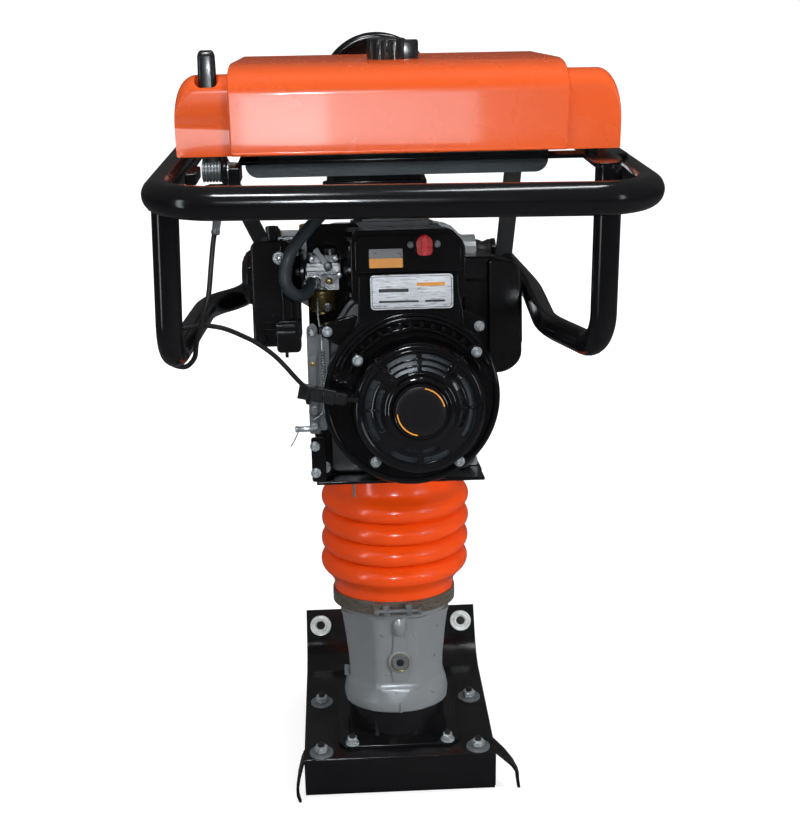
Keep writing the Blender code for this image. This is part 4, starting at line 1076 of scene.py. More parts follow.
def build_switch():
    spot = TO_LEG @ Vector(JOINTS["stop_switch_turn"]["pos_m"])
    base = merged(
        lathe([(0.013, 0), (0.013, 0.003), (0.01, 0.0045)], 36),
        block((-0.02, 0.02), (-0.004, 0.004), (0, 0.002)),
    )
    piece(
        "switch_mount", base, BLACK_PLASTIC, "power_unit", at=spot + Vector((0, 0.002, 0)),
        turn=(QUARTER, 0, 0), bevel=0.0006,
    )
    for side in (-1, 1):
        at = spot + Vector((side * 0.015, -0.0005, 0))
        piece(
            f"switch_screw_{'left' if side < 0 else 'right'}", flange_bolt(0.0052, 0.003, 0.004),
            DULL_GREY, "power_unit", at=at, turn=(QUARTER, 0, 0), bevel=0.0002,
        )
    wing = fillet(
        [(-0.0085, -0.012), (0.0085, -0.012), (0.0095, 0.006), (0.0, 0.013), (-0.0095, 0.006)], 0.004, 4,
    )
    knob = merged(prism(wing, 0.0052, 0.012), prism([(x * 0.42, y) for x, y in wing], 0.0115, 0.017))
    piece(
        "switch_knob", knob, RED_PLASTIC, "stop_switch", at=spot, turn=(QUARTER, 0, 0), bevel=0.0012,
        replaces=("stop_switch_knob",),
    )



# ---------------------------------------------------------------- intake side


def build_carburettor():
    low, high = leg_box("carburettor")
    axis_y, axis_z = -0.29, 0.69
    parts = [turned(rod(0.015, 0.04, 36, 0.002), (-0.087, axis_y, axis_z), (0, QUARTER, 0))]
    flange = fillet(
        [(0.0, 0.026), (0.017, 0.004), (0.017, -0.004), (0.0, -0.026), (-0.017, -0.004), (-0.017, 0.004)],
        0.01, 5,
    )
    for x in (low.x + 0.0005, high.x - 0.0045):
        parts.append(turned(prism(flange, 0.0, 0.004), (x, axis_y, axis_z), (QUARTER, 0, QUARTER)))
    parts.append(block((-0.106, -0.066), (axis_y - 0.019, axis_y + 0.0165), (0.6675, 0.686)))
    parts.append(block((-0.104, -0.064), (axis_y - 0.0205, axis_y + 0.012), (0.686, 0.7)))
    parts.append(turned(rod(0.02, 0.004, 40, 0.0008), (-0.087, axis_y, 0.6692)))
    parts.append(block((-0.1, -0.068), (axis_y - 0.015, axis_y + 0.01), (0.7, 0.709)))
    parts.append(turned(rod(0.0065, 0.017, 24, 0.001), (-0.076, axis_y - 0.008, 0.708)))
    parts.append(turned(rod(0.006, 0.013, 24, 0.001), (-0.098, axis_y - 0.007, 0.706)))
    parts.append(turned(rod(0.005, 0.018, 20, 0.001), (-0.093, axis_y - 0.018, 0.679), (QUARTER, 0, 0)))
    parts.append(turned(rod(0.0042, 0.016, 20, 0.001), (-0.078, axis_y - 0.0175, 0.679), (QUARTER, 0, 0)))
    piece(
        "carburettor_body", merged(*parts), CARB_ZINC, "power_unit", bevel=0.0012,
        replaces=("carburettor",),
    )
    bar = block((-0.105, -0.077), (axis_y - 0.0235, axis_y - 0.0195), (0.6905, 0.696))
    piece("carburettor_bar", bar, BRIGHT_ZINC, "power_unit", bevel=0.001)
    screws = (
        (-0.093, axis_y - 0.0272, 0.679), (-0.078, axis_y - 0.0258, 0.679),
        (-0.07, axis_y - 0.0154, 0.7046),
        (-0.098, axis_y - 0.0154, 0.7046), (-0.085, axis_y - 0.0154, 0.7046),
    )
    for number, spot in enumerate(screws):
        screw = merged(
            rod(0.0034, 0.002, 20, 0.0006), turned(torus(0.0022, 0.0006, 16, 6), (0, 0, 0.001)),
        )
        look = BRASS if number < 2 else ZINC
        piece(f"carburettor_screw_{number}", screw, look, "power_unit", at=spot, turn=(QUARTER, 0, 0))
    at = (-0.066, axis_y - 0.024, 0.686)
    piece(
        "idle_spring", coil(-0.006, 0.006, 0.003, 0.00055, 6), ZINC, "power_unit", at=at,
        turn=(QUARTER, 0, 0),
    )
    stem = merged(rod(0.0016, 0.02, 14), turned(rod(0.0034, 0.003, 20, 0.0006), (0, 0, 0.009)))
    piece("idle_screw", stem, ZINC, "power_unit", at=at, turn=(QUARTER, 0, 0))
    boot = merged(
        rod(0.0115, 0.018, 32, 0.0015), block((-0.011, 0.011), (-0.002, 0.016), (-0.009, 0.009)),
    )
    piece(
        "intake_boot", boot, RUBBER, "power_unit", at=(-0.053, axis_y + 0.002, axis_z),
        turn=(0, QUARTER, 0), bevel=0.001,
    )
    for number, y in enumerate((axis_y - 0.019, axis_y + 0.019)):
        for side, x in (("in", low.x - 0.001), ("out", high.x - 0.0052)):
            bolt = flange_bolt(0.007, 0.0035, 0.0048, 0.5)
            piece(
                f"carburettor_stud_{side}_{number}", bolt, DULL_GREY, "power_unit", at=(x, y, axis_z),
                turn=(0, -QUARTER, 0), bevel=0.0002,
            )


def build_float_bowl():
    low, high = leg_box("float_bowl")
    centre = middle((low, high))
    r = (high.x - low.x) / 2
    bowl = lathe([
        (0.003, low.z + 0.0006), (0.011, low.z + 0.001), (0.015, low.z + 0.003), (0.0168, low.z + 0.007),
        (0.0172, high.z - 0.0075), (0.0172, high.z - 0.005), (r, high.z - 0.0042), (r, high.z - 0.001),
        (r - 0.0012, high.z),
    ], 56)
    piece(
        "float_bowl_shell", bowl, BRASS, "power_unit", at=(centre.x, centre.y, 0), bevel=0.0005, angle=45,
        replaces=("float_bowl",),
    )
    drain = merged(hex_head(0.008, 0.006), turned(rod(0.0052, 0.0016, 20), (0, 0, 0.0005)))
    piece(
        "float_bowl_drain", drain, ZINC, "power_unit",
        at=(centre.x + 0.006, low.y + 0.0035, low.z + 0.008), turn=(QUARTER + 0.35, 0, 0), bevel=0.0003,
    )
    piece(
        "float_bowl_bolt", turned(hex_head(0.009, 0.0045), (0, 0, 0), (math.pi, 0, 0)), BRASS,
        "power_unit", at=(centre.x, centre.y, low.z + 0.0015), bevel=0.0003,
    )


def build_air_cleaner():
    low = leg_box("air_cleaner_case")[0]
    x0, x1 = low.x - 0.0015, -0.12
    shell = slab(box_outline((x0, x1), (0.606, 0.7288), 0.01, 6), -0.3415, -0.2355)
    wide = slab(box_outline((x1 - 0.01, -0.1125), (0.6075, 0.664), 0.006, 5), -0.338, -0.27)
    back = slab(box_outline((x1 - 0.01, -0.11), (0.654, 0.72), 0.006, 5), -0.28, -0.24)
    neck = turned(rod(0.013, 0.014, 32), (-0.1175, -0.29, 0.69), (0, QUARTER, 0))
    case = merged(shell, wide, back, neck)
    piece(
        "air_cleaner_shell", case, BLACK_PLASTIC, "power_unit", bevel=0.004, segments=4,
        replaces=("air_cleaner_case",),
    )
    outline = box_outline((-0.3422, -0.2348), (0.6053, 0.7295), 0.0095, 6)
    seam = sweep([((x0 + x1) / 2 + 0.012, y, z) for y, z in outline], 0.0011, 8, closed=True)
    piece("air_cleaner_seam", seam, BLACK_PLASTIC, "power_unit")
    ribs = [
        block((x0 + 0.006, x0 + 0.03), (-0.3424, -0.34), (z, z + 0.0022))
        for z in (0.625, 0.633, 0.641, 0.649)
    ]
    piece("air_cleaner_ribs", merged(*ribs), BLACK_PLASTIC, "power_unit", bevel=0.0007)
    profile = [
        (0.005, -0.002), (0.0062, 0.002), (0.0068, 0.009), (0.008, 0.014), (0.0074, 0.017),
        (0.004, 0.0178),
    ]
    knob = turned(lathe(profile, 24), (0, 0, 0), (0, 0, 0), (1.0, 0.6, 1.0))
    piece(
        "air_cleaner_wing_nut", knob, BLACK_PLASTIC, "power_unit", at=(-0.1415, -0.333, 0.728),
        bevel=0.0006,
    )
    bolt = merged(
        flange_bolt(0.01, 0.006, 0.0078, 0.3), turned(rod(0.003, 0.004, 16, 0.0008), (0, 0, 0.0075)),
    )
    piece(
        "air_cleaner_bolt", bolt, ZINC, "power_unit", at=(-0.134, -0.3418, 0.709), turn=(QUARTER, 0, 0),
        bevel=0.0003,
    )
    low_screw = flange_bolt(0.0065, 0.0035, 0.005, 0.3)
    piece(
        "air_cleaner_screw", low_screw, BLACK_PLASTIC, "power_unit", at=(-0.156, -0.3418, 0.617),
        turn=(QUARTER, 0, 0), bevel=0.0002,
    )
    breather = slab(box_outline((-0.14, -0.112), (0.601, 0.6385), 0.005, 5), -0.3598, -0.33)
    piece("breather_box", breather, BLACK_PLASTIC, "power_unit", bevel=0.0026, segments=4)
    slats = [block((-0.14, -0.118), (-0.3608, -0.359), (z, z + 0.004)) for z in (0.622, 0.63)]
    piece("breather_slats", merged(*slats), CAP_PLASTIC, "power_unit", bevel=0.0012)
    pin = rod(0.002, 0.008, 14, 0.0004)
    piece("breather_pin", pin, BLACK_PLASTIC, "power_unit", at=(-0.129, -0.35, 0.5985))
    ear = block((-0.148, -0.113), (-0.32, -0.29), (0.7286, 0.7318))
    piece(
        "air_cleaner_stay", merged(ear, block((-0.116, -0.113), (-0.32, -0.29), (0.71, 0.7318))), ZINC,
        "power_unit", bevel=0.0006,
    )
    plug = merged(rod(0.0078, 0.007, 28, 0.001), turned(hex_head(0.012, 0.003, 0.2), (0, 0, 0.0035)))
    piece("air_cleaner_plug", plug, BRASS, "power_unit", at=(-0.14, -0.305, 0.735), bevel=0.0003)
    cap_low, cap_high = leg_box("air_cleaner_cap")
    centre = middle((cap_low, cap_high))
    r = (cap_high.z - cap_low.z) / 2
    depth = cap_high.x - cap_low.x
    cap = lathe([
        (r, 0), (r, depth * 0.45), (r - 0.0015, depth * 0.62), (r - 0.005, depth * 0.72),
        (r - 0.0055, depth * 0.8),
        (r - 0.01, depth * 0.84), (r - 0.0105, depth * 0.92), (r - 0.016, depth * 0.96), (0.006, depth),
    ], 72)
    at = (cap_high.x, centre.y, centre.z)
    piece(
        "air_cleaner_lid", cap, BLACK_PLASTIC, "power_unit", at=at, turn=(0, -QUARTER, 0), bevel=0.0008,
        angle=24, replaces=("air_cleaner_cap",),
    )
    grips = []
    for k in range(24):
        a = TAU * k / 24
        rib = block((-0.001, 0.001), (-0.0007, 0.0007), (0.0008, depth * 0.42))
        grips.append(turned(rib, ((r + 0.0002) * math.cos(a), (r + 0.0002) * math.sin(a), 0), (0, 0, a)))
    piece(
        "air_cleaner_lid_grips", merged(*grips), BLACK_PLASTIC, "power_unit", at=at,
        turn=(0, -QUARTER, 0), bevel=0.0003,
    )


def build_choke():
    spot = TO_LEG @ Vector(JOINTS["choke_turn"]["pos_m"])
    finger = fillet(
        [
            (-0.0045, -0.0045), (0.0045, -0.0045), (0.003, 0.018), (0.0042, 0.0255), (-0.0042, 0.0255),
            (-0.003, 0.018),
        ],
        0.002, 4,
    )
    lever = merged(
        slab(finger, -0.0022, 0.0002),
        turned(rod(0.005, 0.0052, 24, 0.0008), (0, -0.0006, 0), (QUARTER, 0, 0)),
    )
    piece(
        "choke_finger", lever, DULL_GREY, "choke", at=spot, turn=(0, -0.6, 0), bevel=0.0005,
        replaces=("choke_lever",),
    )


def build_governor():
    """Bracket, throttle arm, its long spring and link, and the cable's clamp screw."""
    face = -0.344
    outline = fillet(
        [(-0.106, 0.502), (-0.093, 0.502), (-0.093, 0.628), (-0.0985, 0.634), (-0.106, 0.628)], 0.003, 4,
    )
    plate = slab(outline, face, face + 0.0022)
    foot = slab(box_outline((-0.096, -0.0854), (0.506, 0.54), 0.002, 3), face, face + 0.044)
    piece(
        "governor_bracket", merged(plate, foot), DULL_GREY, "power_unit", bevel=0.0005,
        replaces=("control_bracket",),
    )
    for number, (x, z) in enumerate(((-0.0995, 0.512), (-0.0995, 0.622))):
        piece(
            f"governor_screw_{number}", flange_bolt(0.0075, 0.0042, 0.0052, 0.4 + number), ZINC,
            "power_unit", at=(x, face, z), turn=(QUARTER, 0, 0), bevel=0.0002,
        )
    clamp_barrel = merged(
        turned(rod(0.0034, 0.02, 20, 0.0006), (-0.109, -0.3425, 0.508), (0, QUARTER, 0)),
        turned(hex_head(0.0068, 0.0042), (-0.119, -0.3425, 0.508), (0, -QUARTER, 0)),
    )
    piece("cable_clamp_barrel", clamp_barrel, ZINC, "power_unit", bevel=0.0003)
    tail = smooth_path([(-0.118, -0.344, 0.508), (-0.124, -0.345, 0.496), (-0.129, -0.346, 0.488)], 6)
    piece("cable_tail", sweep(tail, 0.0007, 8), STEEL, "power_unit")
    spot = TO_LEG @ Vector(JOINTS["control_arm_turn"]["pos_m"])
    arm = fillet(
        [
            (-0.005, -0.011), (0.005, -0.011), (0.0036, 0.03), (0.0044, 0.0655), (-0.0044, 0.0655),
            (-0.0036, 0.03),
        ],
        0.0024, 4,
    )
    lever = merged(
        slab(arm, -0.0012, 0.0008),
        turned(
            lathe([(0.0068, -0.0018), (0.0068, 0.0014), (0.005, 0.0022)], 28), (0, -0.0006, 0),
            (QUARTER, 0, 0),
        ),
        turned(hex_head(0.0085, 0.0034, 0.2), (0, -0.0026, 0), (QUARTER, 0, 0)),
    )
    piece(
        "governor_lever", lever, DULL_GREY, "governor_arm", at=spot, bevel=0.0004,
        replaces=("control_arm",),
    )
    pin = merged(rod(0.002, 0.006, 14, 0.0004), turned(rod(0.0032, 0.0012, 16, 0.0003), (0, 0, 0.0028)))
    piece(
        "governor_lever_pin", pin, BRASS, "governor_arm", at=spot + Vector((0, -0.002, 0.056)),
        turn=(QUARTER, 0, 0),
    )
    spring = coil(0.548, 0.602, 0.0028, 0.00055, 17)
    piece("governor_spring", spring, ZINC, "power_unit", at=(-0.0885, -0.351, 0), bevel=0.0)
    rod_path = smooth_path(
        [
            (-0.0885, -0.351, 0.601), (-0.089, -0.349, 0.62), (-0.092, -0.34, 0.642),
            (-0.092, -0.326, 0.66),
        ],
        6,
    )
    piece("governor_link", sweep(rod_path, 0.001, 8), ZINC, "power_unit")
    stay = sweep(
        smooth_path([(-0.0885, -0.351, 0.549), (-0.089, -0.352, 0.53), (-0.101, -0.349, 0.52)], 6),
        0.0009, 8,
    )
    piece("governor_spring_hook", stay, ZINC, "power_unit")
    second = fillet(
        [(-0.086, 0.548), (-0.08, 0.548), (-0.08, 0.618), (-0.084, 0.632), (-0.088, 0.628)], 0.0024, 4,
    )
    piece("governor_second_lever", slab(second, -0.343, -0.3415), DULL_GREY, "power_unit", bevel=0.0004)


def build_fuel_hose():
    """Slate hose from the tap under the tank, looping behind the carburettor."""
    tap = middle(leg_box("fuel_tap"))
    path = [
        (tap.x, tap.y - 0.0235, 0.793), (-0.0785, -0.283, 0.764), (-0.101, -0.333, 0.74),
        (-0.12, -0.3545, 0.716),
        (-0.1275, -0.3565, 0.692), (-0.125, -0.356, 0.676), (-0.115, -0.348, 0.666),
        (-0.104, -0.336, 0.668),
        (-0.0975, -0.32, 0.679),
    ]
    hose = sweep(smooth_path(path, 12), 0.0072, 28)
    made = piece("fuel_hose_bent", hose, SLATE_RUBBER, None, angle=60, replaces=("fuel_hose",))
    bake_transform(made)
    ends = (
        ("top", Vector(path[0]) + Vector((0, -0.004, -0.01)), "handle", (0.45, 0, 0)),
        ("bottom", Vector(path[-1]) + Vector((-0.003, -0.0065, -0.004)), "power_unit", (1.0, -0.3, 0)),
    )
    for key, at, body, turn in ends:
        clip = merged(torus(0.008, 0.0008, 28, 6), turned(torus(0.008, 0.0008, 28, 6), (0, 0, 0.0022)))
        ears = block((0.0075, 0.0125), (-0.003, 0.003), (-0.0005, 0.0028))
        piece(f"hose_clip_{key}", merged(clip, ears), ZINC, body, at=at, turn=turn)


# ---------------------------------------------------------------- engine, exhaust and gear case


def build_muffler_guard():
    """Deep pressed guard over the silencer with a recessed strip beside the fan housing."""
    low, high = leg_box("muffler_guard")
    x0, x1 = 0.095, high.x
    z0, z1 = 0.557, 0.696
    outline = fillet([
        (x0 + 0.02, z0 - 0.001), (x1 - 0.02, z0 - 0.001), (x1, z0 + 0.014), (x1, z1 - 0.012),
        (x1 - 0.01, z1 - 0.002),
        (x0 + 0.02, z1 + 0.002),
    ], [0.006, 0.014, 0.012, 0.008, 0.008, 0.006], 5)
    outer = slab(outline, low.y, high.y)
    inner = slab(
        box_outline((x0 - 0.01, x0 + 0.04), (z0 + 0.006, z1 - 0.022), 0.008, 6), low.y + 0.01,
        high.y - 0.004,
    )
    shelf = slab(
        box_outline((x0 - 0.01, x0 + 0.034), (z1 - 0.026, z1 + 0.004), 0.006, 4), low.y + 0.004,
        high.y - 0.01,
    )
    guard = merged(outer, inner, shelf)
    piece(
        "exhaust_guard", guard, BLACK_PAINT, "power_unit", bevel=0.005, segments=5,
        replaces=("muffler_guard",),
    )
    slots = []
    for i in range(6):
        y = low.y + 0.024 + 0.016 * i
        slots.append(sweep([(x1 + 0.0002, y, z0 + 0.034), (x1 + 0.0002, y, z1 - 0.034)], 0.0034, 12))
    piece("exhaust_guard_louvres", merged(*slots), BLACK_PAINT, "power_unit", angle=60)
    pipe = turned(rod(0.013, 0.04, 32, 0.001), (0.0786, -0.205, 0.682), (0, QUARTER, 0))
    piece("exhaust_pipe", pipe, DARK_CAST, "power_unit")


def build_engine():
    low, high = leg_box("engine_block")
    outline = fillet(
        [(low.x, 0.445), (high.x, 0.445), (high.x, 0.6), (0.062, 0.655), (-0.05, 0.655), (low.x, 0.6)],
        0.014, 5,
    )
    piece(
        "engine_case", slab(outline, low.y, high.y), DARK_CAST, "power_unit", bevel=0.004, segments=4,
        replaces=("engine_block",),
    )
    split = slab(
        fillet(
            [
                (low.x - 0.006, 0.4452), (high.x + 0.005, 0.4452), (high.x + 0.005, 0.604), (0.064, 0.66),
                (-0.052, 0.66), (low.x - 0.006, 0.604),
            ],
            0.014, 5,
        ),
        low.y + 0.012, low.y + 0.024,
    )
    piece("engine_case_joint", split, DARK_CAST, "power_unit", bevel=0.002)
    ribs = []
    for i in range(5):
        z = 0.47 + 0.028 * i
        ribs.append(block((low.x - 0.004, low.x + 0.004), (low.y + 0.03, high.y - 0.02), (z, z + 0.004)))
        ribs.append(
            block((high.x - 0.004, high.x + 0.004), (low.y + 0.03, high.y - 0.02), (z, z + 0.004))
        )
    shield = slab(box_outline((-0.1045, -0.04), (0.61, 0.744), 0.008, 5), -0.262, -0.259)
    piece("intake_shield", shield, BLACK_PLASTIC, "power_unit", bevel=0.001)
    piece("engine_case_ribs", merged(*ribs), DARK_CAST, "power_unit", bevel=0.0012)
    feet = []
    for x in (-0.094, 0.092):
        for y in (low.y + 0.02, high.y - 0.04):
            feet.append(slab(box_outline((x - 0.006, x + 0.006), (0.445, 0.456), 0.003, 3), y, y + 0.024))
    piece("engine_feet", merged(*feet), CAST, "power_unit", bevel=0.0012)
    for number, (x, y) in enumerate(
        (
            (-0.093, low.y + 0.032), (0.092, low.y + 0.032), (-0.093, high.y - 0.028),
            (0.092, high.y - 0.028),
        )
    ):
        piece(
            f"engine_foot_bolt_{number}", flange_bolt(0.01, 0.006, 0.0074, number), ZINC, "power_unit",
            at=(x, y, 0.456), bevel=0.0003,
        )
    wall = slab(box_outline((-0.099, low.x + 0.004), (0.446, 0.53), 0.006, 4), -0.336, -0.304)
    piece("engine_base_casting", wall, BLACK_PAINT, "power_unit", bevel=0.003)
    for number, (x, z) in enumerate(((-0.0905, 0.46), (-0.0905, 0.518))):
        piece(
            f"engine_base_bolt_{number}", flange_bolt(0.011, 0.0058, 0.0078, number), ZINC, "power_unit",
            at=(x, -0.336, z), turn=(QUARTER, 0, 0), bevel=0.0003,
        )
    filler = lathe([(0.013, 0), (0.013, 0.01), (0.01, 0.0125), (0.01, 0.018), (0.0085, 0.019)], 32)
    piece(
        "oil_filler", filler, BLACK_PLASTIC, "power_unit", at=(low.x + 0.001, low.y + 0.06, 0.49),
        turn=(0, -QUARTER, 0), bevel=0.0008,
    )
    head_top = leg_box("engine_cylinder")[1].z
    repaint(["engine_cylinder"], DARK_CAST, 0.0006)
    rocker = slab(box_outline((-0.038, 0.038), (0.764, head_top), 0.006, 4), -0.243, -0.167)
    piece("rocker_cover", rocker, BLACK_PAINT, "power_unit", bevel=0.003)
    for number, (x, y) in enumerate(((-0.03, -0.236), (0.03, -0.236), (-0.03, -0.174), (0.03, -0.174))):
        piece(
            f"rocker_bolt_{number}", flange_bolt(0.008, 0.004, 0.006, number), ZINC, "power_unit",
            at=(x, y, head_top - 0.001), bevel=0.0002,
        )
    plug = lathe([(0.008, 0), (0.008, 0.014), (0.0055, 0.018), (0.0055, 0.026)], 28)
    piece(
        "spark_plug_boot", plug, RUBBER, "power_unit", at=(0.052, -0.246, 0.716), turn=(QUARTER, 0.5, 0),
        bevel=0.0008,
    )


def build_engine_plate():
    low, high = leg_box("engine_plate")
    deck = block((low.x, high.x), (low.y, high.y), (0.4406, 0.4446))
    lip = [
        block((side * 0.1 - 0.0015, side * 0.1 + 0.0015), (-0.3, high.y), (0.4346, 0.4446))
        for side in (-1, 1)
    ]
    outline = fillet(
        [(-0.348, 0.443), (-0.298, 0.443), (-0.298, 0.492), (-0.306, 0.5), (-0.348, 0.5)], 0.004, 3,
    )
    bracket = side_slab(outline, -0.1, -0.0945)
    piece(
        "engine_deck", merged(deck, bracket, *lip), BLACK_PAINT, "power_unit", bevel=0.001,
        replaces=("engine_plate",),
    )
    tab = slab(box_outline((-0.105, -0.088), (0.445, 0.499), 0.003, 3), -0.349, -0.347)
    piece("engine_deck_tab", tab, BLACK_PAINT, "power_unit", bevel=0.0006)
    for number, z in enumerate((0.456, 0.488)):
        nut = flange_bolt(0.0088, 0.0055, 0.006, number)
        piece(
            f"engine_deck_tab_bolt_{number}", nut, ZINC, "power_unit", at=(-0.1005, -0.349, z),
            turn=(QUARTER, 0, 0), bevel=0.0002,
        )
    pin = rod(0.0016, 0.02, 14, 0.0006)
    piece("deck_pin", pin, DULL_GREY, "power_unit", at=(-0.056, -0.34, 0.433))


def build_crankcase():
    repaint(["crankcase"], CAST, 0.0022)
    repaint(["crankcase_cover"], CAST, 0.0016)
    low, high = leg_box("crankcase_breather")
    centre = middle((low, high))
    knurl = merged(
        lathe(
            [
                (0.0112, 0), (0.0112, 0.0016), (0.0098, 0.0018), (0.0098, 0.0066), (0.0082, 0.008),
                (0.005, 0.0084),
            ],
            36,
        ),
        *[
            turned(
                block((-0.0006, 0.0006), (-0.0006, 0.0006), (0.002, 0.0062)),
                (0.01 * math.cos(TAU * k / 22), 0.01 * math.sin(TAU * k / 22), 0), (0, 0, TAU * k / 22),
            )
            for k in range(22)
        ],
    )
    piece(
        "case_breather", knurl, BRASS, "power_unit", at=(centre.x, centre.y, low.z), bevel=0.0002,
        replaces=("crankcase_breather",), segments=2,
    )
    pivot = TO_LEG @ Vector(JOINTS["handle_rock"]["pos_m"])
    for side in (-1, 1):
        for number in range(6):
            a = TAU * number / 6 + 0.3
            bolt = flange_bolt(0.007, 0.004, 0.0052, number)
            at = (side * 0.1, pivot.y + 0.04 * math.cos(a), pivot.z + 0.04 * math.sin(a) - 0.012)
            if at[1] > 0.055 or at[2] > 0.715:
                bolt.free()
                continue
            piece(
                f"case_side_bolt_{'left' if side < 0 else 'right'}_{number}", bolt, ZINC, "power_unit",
                at=at, turn=(0, side * QUARTER, 0), bevel=0.0002,
            )


# ---------------------------------------------------------------- handle


def build_handle():
    """Closed ring of tube, two arms down to the gear case, cross plates, flat struts and rubber mounts."""
    low, high = world_box("handle_frame")
    r, drop_r = 0.016, 0.0136
    bar_y, bar_z = low.y + r, JOINTS["throttle_turn"]["pos_m"][2] - 0.009
    half, front = high.x - r, -0.08
    mount = Vector(JOINTS["handle_rock"]["pos_m"])
    loop = [
        (-half, bar_y, bar_z + 0.003), (half, bar_y, bar_z - 0.002), (half, front, bar_z),
        (-half, front, bar_z),
    ]
    tubes = [sweep(fillet(loop, 0.062, 14), r, 36, closed=True)]
    left_arm = [
        (-0.2335, -0.497, bar_z), (-0.24, -0.497, 0.757), (-0.225, -0.24, 0.75), (-0.183, -0.19, 0.7485),
        (-0.16, -0.008, mount.z),
    ]
    right_arm = [
        (0.2035, -0.497, 0.946), (0.2035, -0.497, 0.757), (0.166, -0.364, 0.75), (0.18, -0.15, 0.738),
        (0.16, -0.008, mount.z),
    ]
    for side, path in ((-1, left_arm), (1, right_arm)):
        tubes.append(sweep(fillet(path, [0, 0.04, 0.038, 0.038, 0], 10, closed=False), drop_r, 28))
        disc = lathe([(0.024, -0.0026), (0.024, 0.0026), (0.018, 0.003)], 44)
        tubes.append(turned(disc, (side * 0.1475, mount.y, mount.z), (0, side * QUARTER, 0)))
    tubes.append(turned(torus(0.0142, 0.0022, 36, 8), (-0.2345, -0.497, bar_z - 0.0155)))
    piece(
        "handle_tubes", merged(*tubes), BLACK_PAINT, "handle", WORLD, angle=50,
        replaces=("handle_frame",),
    )
    plates = []
    for x, y in (
        ((-0.165, half), (-0.435, -0.405)), ((-half, half), (-0.337, -0.313)),
        ((-0.165, -0.145), (-0.435, -0.313)),
    ):
        plates.append(prism(box_outline(x, y, 0.003, 3), 0.9455, 0.9495))
    tongue = fillet(
        [(0.189, -0.5), (0.212, -0.5), (0.223, -0.47), (0.223, -0.405), (0.189, -0.405)], 0.008, 4,
    )
    plates.append(prism(tongue, 0.945, 0.9496))
    gusset = [
        (0.218, -0.478, 0.944), (0.2395, -0.478, 0.93), (0.2395, -0.442, 0.93), (0.218, -0.442, 0.944),
    ]
    plates.append(loft([[(x, y, z) for x, y, z in gusset], [(x, y, z + 0.005) for x, y, z in gusset]]))
    piece("tank_cross_plates", merged(*plates), BLACK_PAINT, "handle", WORLD, bevel=0.0008)
    struts = []
    for top, foot in (
        ((-0.224, -0.106, 0.93), (-0.156, -0.034, 0.756)),
        ((0.168, -0.084, 0.93), (0.158, -0.034, 0.754)),
    ):
        rings = []
        for x, y, z in (top, foot):
            rings.append(
                [
                    (x - 0.0115, y - 0.0025, z), (x + 0.0115, y - 0.0025, z), (x + 0.0115, y + 0.0025, z),
                    (x - 0.0115, y + 0.0025, z),
                ]
            )
        struts.append(loft(rings))
    for side in (-1, 1):
        x = side * middle(leg_box("strut_buffer_right")).x
        struts.append(block((x - 0.012, x + 0.012), (-0.045, -0.019), (0.7279, 0.74)))
    piece("handle_struts", merged(*struts), STRUT_PAINT, "handle", WORLD, bevel=0.001)
    for side in (-1, 1):
        name = "left" if side < 0 else "right"
        mount_low, mount_high = world_box(f"rubber_mount_{name}")
        centre = middle((mount_low, mount_high))
        reach = mount_high.x - mount_low.x
        rr = (mount_high.z - mount_low.z) / 2
        profile = [
            (rr - 0.0012, -reach / 2), (rr, -reach / 2 + 0.0012), (rr, -reach / 2 + 0.004),
            (rr - 0.003, 0),
            (rr, reach / 2 - 0.004), (rr, reach / 2 - 0.0012), (rr - 0.0012, reach / 2),
        ]
        piece(
            f"mount_buffer_{name}", lathe(profile, 56), RUBBER, "handle", WORLD, at=centre,
            turn=(0, QUARTER, 0), angle=50, replaces=(f"rubber_mount_{name}",),
        )
        cap = flange_bolt(0.016, 0.008, 0.011, 0.2)
        piece(
            f"mount_bolt_{name}", cap, ZINC, "handle", WORLD, 0.0003, at=(side * 0.15, mount.y, mount.z),
            turn=(0, side * QUARTER, 0),
        )


def build_strut_buffers():
    for side in ("left", "right"):
        low, high = leg_box(f"strut_buffer_{side}")
        r = (high.x - low.x) / 2
        centre = middle((low, high))
        profile = [
            (r - 0.0008, low.z), (r, low.z + 0.001), (r - 0.0012, centre.z), (r, high.z - 0.001),
            (r - 0.0008, high.z),
        ]
        made = piece(
            f"strut_pad_{side}", lathe(profile, 40), RUBBER, None, at=(centre.x, centre.y, 0), angle=50,
            replaces=(f"strut_buffer_{side}",),
        )
        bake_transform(made)


# ---------------------------------------------------------------- tank


